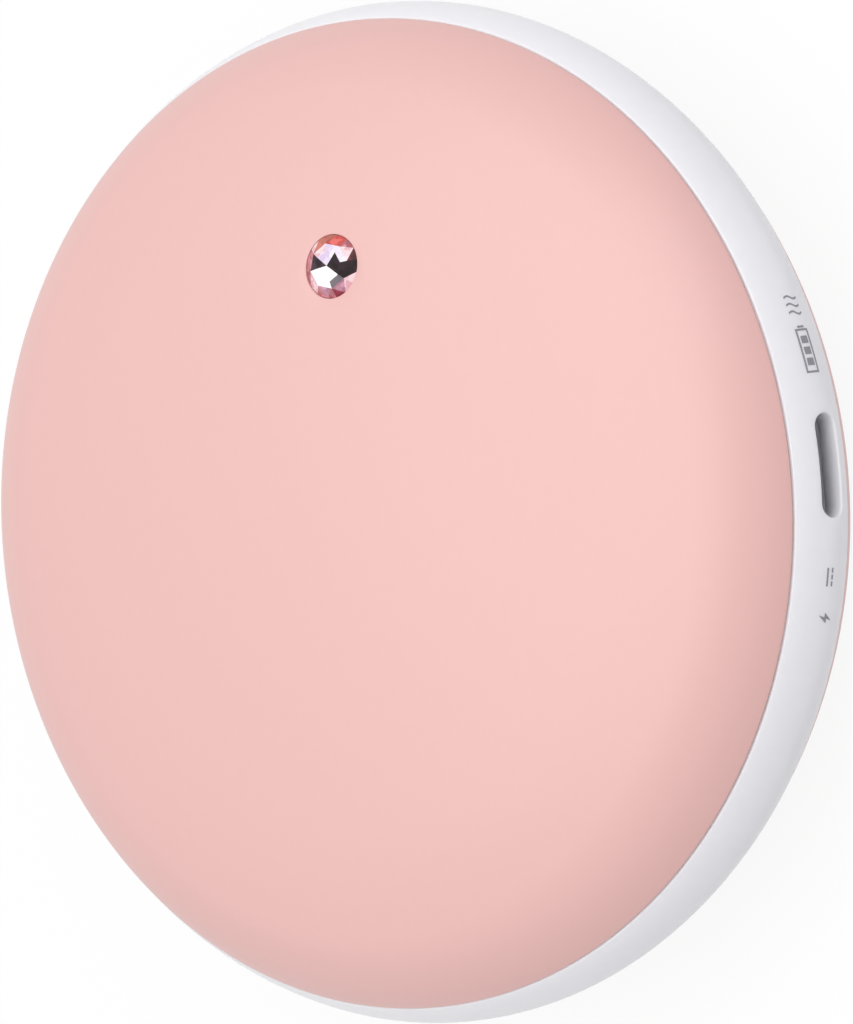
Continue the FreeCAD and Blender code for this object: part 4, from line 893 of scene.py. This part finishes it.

# %% [markdown]
# The power button is a foil-backed glass stone. Its foil throws the room back through the facets, so from
# any side some facets are white, some lilac and some nearly black, with rose at the rim where the pink
# paint shows. Clear glass over foil would lose this in an export, so these reflections are painted: each
# facet carries a painted reflection tone of its own.

# %% Foil-backed crystal
# Painted reflections: the room as the foil throws it back, one flat tone for each facet
REFLECTION_TONES = {
    "glint": "#FFFEFD",
    "lilac": "#EADDF0",
    "blush": "#F0CDD3",
    "ash": "#8B8289",
    "smoke": "#4A3B43",
    "night": "#2A1A1F",
    "maroon": "#56282D",
    "rose": "#C9838B",
    "mauve": "#C793A6",
    "salmon": "#D8645F",
    "rust": "#B4675B",
    "wine": "#A8475A",
}
# Painted flecks, the reflections of the facets behind: their size in millimetres and their share
REFLECTION_FLECK_SIZE = 0.55
REFLECTION_FLECK_SHARE = 0.5


def crystal():
    """Foil-backed glass: a painted reflection tone for each facet, broken into painted flecks of the facets
    behind it.
    """
    material, tree = blank_tree("foil_backed_crystal")
    tone = add(tree, "ShaderNodeAttribute", attribute_name="painted_reflection_tone").outputs["Color"]
    place = add(tree, "ShaderNodeTexCoord").outputs["Object"]
    cells = add(tree, "ShaderNodeTexVoronoi", {"Vector": place, "Scale": 1 / (REFLECTION_FLECK_SIZE * MM)})
    flecks = add(tree, "ShaderNodeSeparateColor", {"Color": cells.outputs["Color"]}).outputs["Red"]
    mixed = add(tree, "ShaderNodeMix", {MIX_FACTOR: REFLECTION_FLECK_SHARE, MIX_A: tone, MIX_B: flecks},
                data_type="RGBA", blend_type="OVERLAY")
    shader = add(tree, "ShaderNodeBsdfPrincipled",
                 {"Base Color": mixed.outputs[MIX_RESULT], "Roughness": 0.1, "Specular IOR Level": 0.15})
    add(tree, "ShaderNodeOutputMaterial", {"Surface": shader.outputs["BSDF"]})
    return material


# Gives the eye painted reflections in patches of white, lilac, rose and near black, with a small real gleam
# on each
CRYSTAL = crystal()
print("crystal with", len(REFLECTION_TONES), "tones")

# %% [markdown]
# The cut of the stone comes from rings of corners: a point in the middle, two rings of eight, the girdle and
# the small culet below. Their convex hull makes the facets, so none has to be listed. Each facet then
# finds its painted reflection tone by its height and its angle about the stone.

# %% Stone in the front cover
FACETS = 8
GIRDLE_CORNERS = 6 * FACETS
STONE_GAP = 0.03
STONE_RADIUS = HOLE_RADIUS - STONE_GAP
STONE_HEIGHT = 0.78
HEART_RADIUS = 1.35
HEART_HEIGHT = 0.66
PETAL_RADIUS = 1.95
PETAL_HEIGHT = 0.5
GIRDLE_DEPTH = 0.25
CULET_RADIUS = 0.7
PAVILION_DEPTH = 1.1
STONE_SINK = 0.15
STONE_LEAN = radians(4.0)
STONE_TURN = radians(6.5)
SAME_FACET = radians(1.0)
# Painted reflections of the heart, the petals and the rim, in turn about the stone
HEART_TONES = ("night", "lilac", "lilac", "smoke", "glint", "glint", "glint", "night")
PETAL_TONES = ("lilac", "lilac", "blush", "smoke", "glint", "glint", "ash", "night")
RIM_TONES = ("maroon", "blush", "rose", "salmon", "salmon", "rust", "rust", "rust",
             "blush", "rose", "rose", "rose", "rose", "blush", "blush", "rose",
             "mauve", "rose", "wine", "mauve", "blush", "blush", "night", "night")


def stone_ring(bm, count, radius, height):
    place = Matrix.Translation((0, 0, height)) @ Matrix.Rotation(STONE_TURN, 4, "Z")
    bmesh.ops.create_circle(bm, segments=count, radius=radius, matrix=place)


def painted_reflection_tone(centre):
    """Painted reflection tone of a facet from its height and its angle about the stone."""
    share = (atan2(centre.y, centre.x) - STONE_TURN) / (2 * pi) % 1.0
    for height, tones in ((HEART_HEIGHT, HEART_TONES), (PETAL_HEIGHT, PETAL_TONES), (0.0, RIM_TONES)):
        if centre.z > height:
            return tones[int(share * len(tones))]
    return "wine"


def stone():
    bm = bmesh.new()
    bm.verts.new((0.0, 0.0, STONE_HEIGHT))
    stone_ring(bm, FACETS, HEART_RADIUS, HEART_HEIGHT)
    stone_ring(bm, FACETS, PETAL_RADIUS, PETAL_HEIGHT)
    stone_ring(bm, GIRDLE_CORNERS, STONE_RADIUS, 0.0)
    stone_ring(bm, GIRDLE_CORNERS, STONE_RADIUS, -GIRDLE_DEPTH)
    stone_ring(bm, FACETS, CULET_RADIUS, -GIRDLE_DEPTH - PAVILION_DEPTH)
    bmesh.ops.convex_hull(bm, input=bm.verts)
    bmesh.ops.dissolve_limit(bm, angle_limit=SAME_FACET, verts=bm.verts, edges=bm.edges)
    bmesh.ops.recalc_face_normals(bm, faces=bm.faces)
    # Each facet's colour is its painted reflection
    tones = bm.faces.layers.float_color.new("painted_reflection_tone")
    for face in bm.faces:
        face[tones] = linear(REFLECTION_TONES[painted_reflection_tone(face.calc_center_median())])
    seat = BUTTON + Vector((0.0, 0.0, EQUATOR + height_at_radius(BUTTON_RADIUS) - STONE_SINK))
    tangent = Vector((-BUTTON.y, BUTTON.x, 0.0)).normalized()
    place = Matrix.Translation(seat) @ Matrix.Rotation(STONE_LEAN, 4, tangent)
    bmesh.ops.transform(bm, matrix=place, verts=bm.verts)
    piece_from(bm, "faceted_stone", "button", CRYSTAL, ["jewel"], smooth=False)


stone()

# %% [markdown]
# The pieces inside keep the shapes of the frame and only need their finishes. The record names a finish for
# each node, so tables of materials, all made with the same function, are enough. The first table holds what
# is moulded, pressed from fibre or foamed.

# %% Plastics, felt and foam
SOFT_FINISHES = {
    # Moulded nylon with glass: dull off-white with a faint flow mark
    "frame_plastic": finish("glass_filled_nylon", "#DCDBD5", "#D2D0C9",
                            grain=2.5, roughness=0.55, swing=0.06, relief=0.004),
    # Pressed ceramic fibre: soft, pale and slightly hairy
    "felt_pad": finish("ceramic_fibre_felt", "#D3D0C8", "#BDB9AF",
                       grain=0.5, roughness=0.95, swing=0.04, relief=0.06),
    # Paper tape: matt and slightly fibrous
    "white_tape": finish("paper_tape", "#E0E0DB", "#D2D2CC",
                         grain=0.7, roughness=0.8, swing=0.06, relief=0.02),
    # Closed-cell foam: dull grey with small bubbles
    "grey_foam": finish("closed_cell_foam", "#55555A", "#47474B",
                        grain=0.45, roughness=0.9, swing=0.05, relief=0.05),
    # Clear polycarbonate: slightly cloudy in a thick piece
    "clear_plastic": finish("clear_polycarbonate", "#F1F0F4", "#E6E5EA",
                            grain=1.5, roughness=0.12, swing=0.04, relief=0.001,
                            **{"Transmission Weight": 0.7, "IOR": 1.58}),
    # Moulded acetal: milky and waxy
    "white_plunger": finish("moulded_acetal", "#EAE9E3", "#E1E0DA",
                            grain=0.8, roughness=0.4, swing=0.05, relief=0.002),
    "pink_shell": PINK_PAINT,
    "white_band": WHITE_ABS,
}
# Moulded liquid-crystal polymer: a pale, dry grey inside the socket
TONGUE_FINISH = finish("moulded_liquid_crystal_polymer", "#CFCFCC", "#C4C4C1",
                       grain=0.4, roughness=0.55, swing=0.05, relief=0.003)
# Silicone cover of a lead: waxy, with little gloss
LEAD_COLOURS = {
    "yellow": ("#E3BC3B", "#D4AC2E"),
    "red": ("#B3211E", "#9D1917"),
    "black": ("#191919", "#222222"),
    "grey": ("#8E8E92", "#828287"),
}
for hue, (colour, shade) in LEAD_COLOURS.items():
    SOFT_FINISHES[hue + "_lead"] = finish(hue + "_silicone_cover", colour, shade,
                                          grain=1.5, roughness=0.5, swing=0.05, relief=0.004)

# %% [markdown]
# Metals are told apart by their tint and by the lines that rolling, drawing or turning leaves. A stretched
# grain gives such lines without any picture.

# %% Metals
METAL_FINISHES = {
    # Laminated aluminium foil: silvery, with fine wrinkles
    "cell_foil": finish("pouch_foil", "#C3C5C9", "#B4B6BB",
                        grain=3.0, roughness=0.34, swing=0.08, relief=0.03, Metallic=1.0),
    # Rolled nickel: warm grey with fine lines along the strip
    "nickel": finish("rolled_nickel", "#B9B4A6", "#A8A395",
                     grain=0.4, roughness=0.32, swing=0.06, relief=0.002, stretch=(1, 0.1, 1), Metallic=1.0),
    # Plated steel: bright, with turning lines
    "screw_steel": finish("plated_steel", "#A9A9AC", "#98989B",
                          grain=0.25, roughness=0.3, swing=0.06, relief=0.002, Metallic=1.0),
    # Drawn stainless steel: grey with fine lines along the draw
    "port_steel": finish("drawn_stainless_steel", "#E2E2E4", "#D4D4D8",
                         grain=0.3, roughness=0.7, swing=0.06, relief=0.002, stretch=(0.1, 1, 1),
                         Metallic=1.0),
    # Gold flash over nickel: warm and bright
    "gold": finish("gold_flash", "#D9B35A", "#CBA34B",
                   grain=0.3, roughness=0.25, swing=0.05, relief=0.001, Metallic=1.0),
}

# %% [markdown]
# What is left belongs to the circuit: films and boards with tracks, which are drawn as stripes, and the
# small parts that are soldered on them.

# %% Circuit
CIRCUIT_FINISHES = {
    # Amber polyimide with an etched foil track: glossy bands of brown and copper
    "heater_film": finish("etched_polyimide_film", "#B9691F", "#8E4A14",
                          grain=1.6, roughness=0.3, swing=0.08, relief=0.01, striped=True),
    # Green solder mask over glass laminate, with copper tracks that lift it
    "green_board": finish("solder_mask_on_laminate", "#1B5433", "#24663F",
                          grain=0.9, roughness=0.32, swing=0.05, relief=0.01, striped=True),
    # Glass bead over a dark chip: small, dark and shiny
    "bead_glass": finish("sealed_bead_glass", "#4C4239", "#3A322B",
                         grain=0.6, roughness=0.12, swing=0.04, relief=0.002),
    # Moulded epoxy: charcoal with a fine grit
    "chip_black": finish("moulded_epoxy", "#242426", "#1C1C1E",
                         grain=0.2, roughness=0.6, swing=0.05, relief=0.004),
    # Sintered ferrite: dark grey and grainy
    "ferrite": finish("sintered_ferrite", "#4A4A4C", "#3C3C3E",
                      grain=0.3, roughness=0.65, swing=0.06, relief=0.008),
    # Fired ceramic: tan and smooth
    "ceramic": finish("fired_ceramic", "#A88A69", "#9C7E5E",
                      grain=0.5, roughness=0.35, swing=0.05, relief=0.003),
    # Clear epoxy lens over a phosphor: pale yellow
    "lamp_lens": finish("phosphor_lens", "#EFEBC6", "#E6E1B4",
                        grain=0.4, roughness=0.2, swing=0.05, relief=0.001),
}

# %% [markdown]
# One loop gives each node of the frame its finish. Only the socket's tongue differs from its record: it
# shows in the slot, and there the photograph is paler.

# %% Dress the inner pieces
FINISHES = {**SOFT_FINISHES, **METAL_FINISHES, **CIRCUIT_FINISHES}


def dress_nodes():
    """Give each node the finish that the record names for it, and the tongue its own."""
    count = 0
    for subpart in frame["record"]["subparts"]:
        material = FINISHES.get(subpart["material_slot"])
        if material:
            node = frame["nodes"][subpart["node"]]
            node.data.materials.clear()
            node.data.materials.append(material)
            count += 1
    frame["nodes"]["port_tongue"].data.materials[0] = TONGUE_FINISH
    print("dressed", count, "nodes")


dress_nodes()
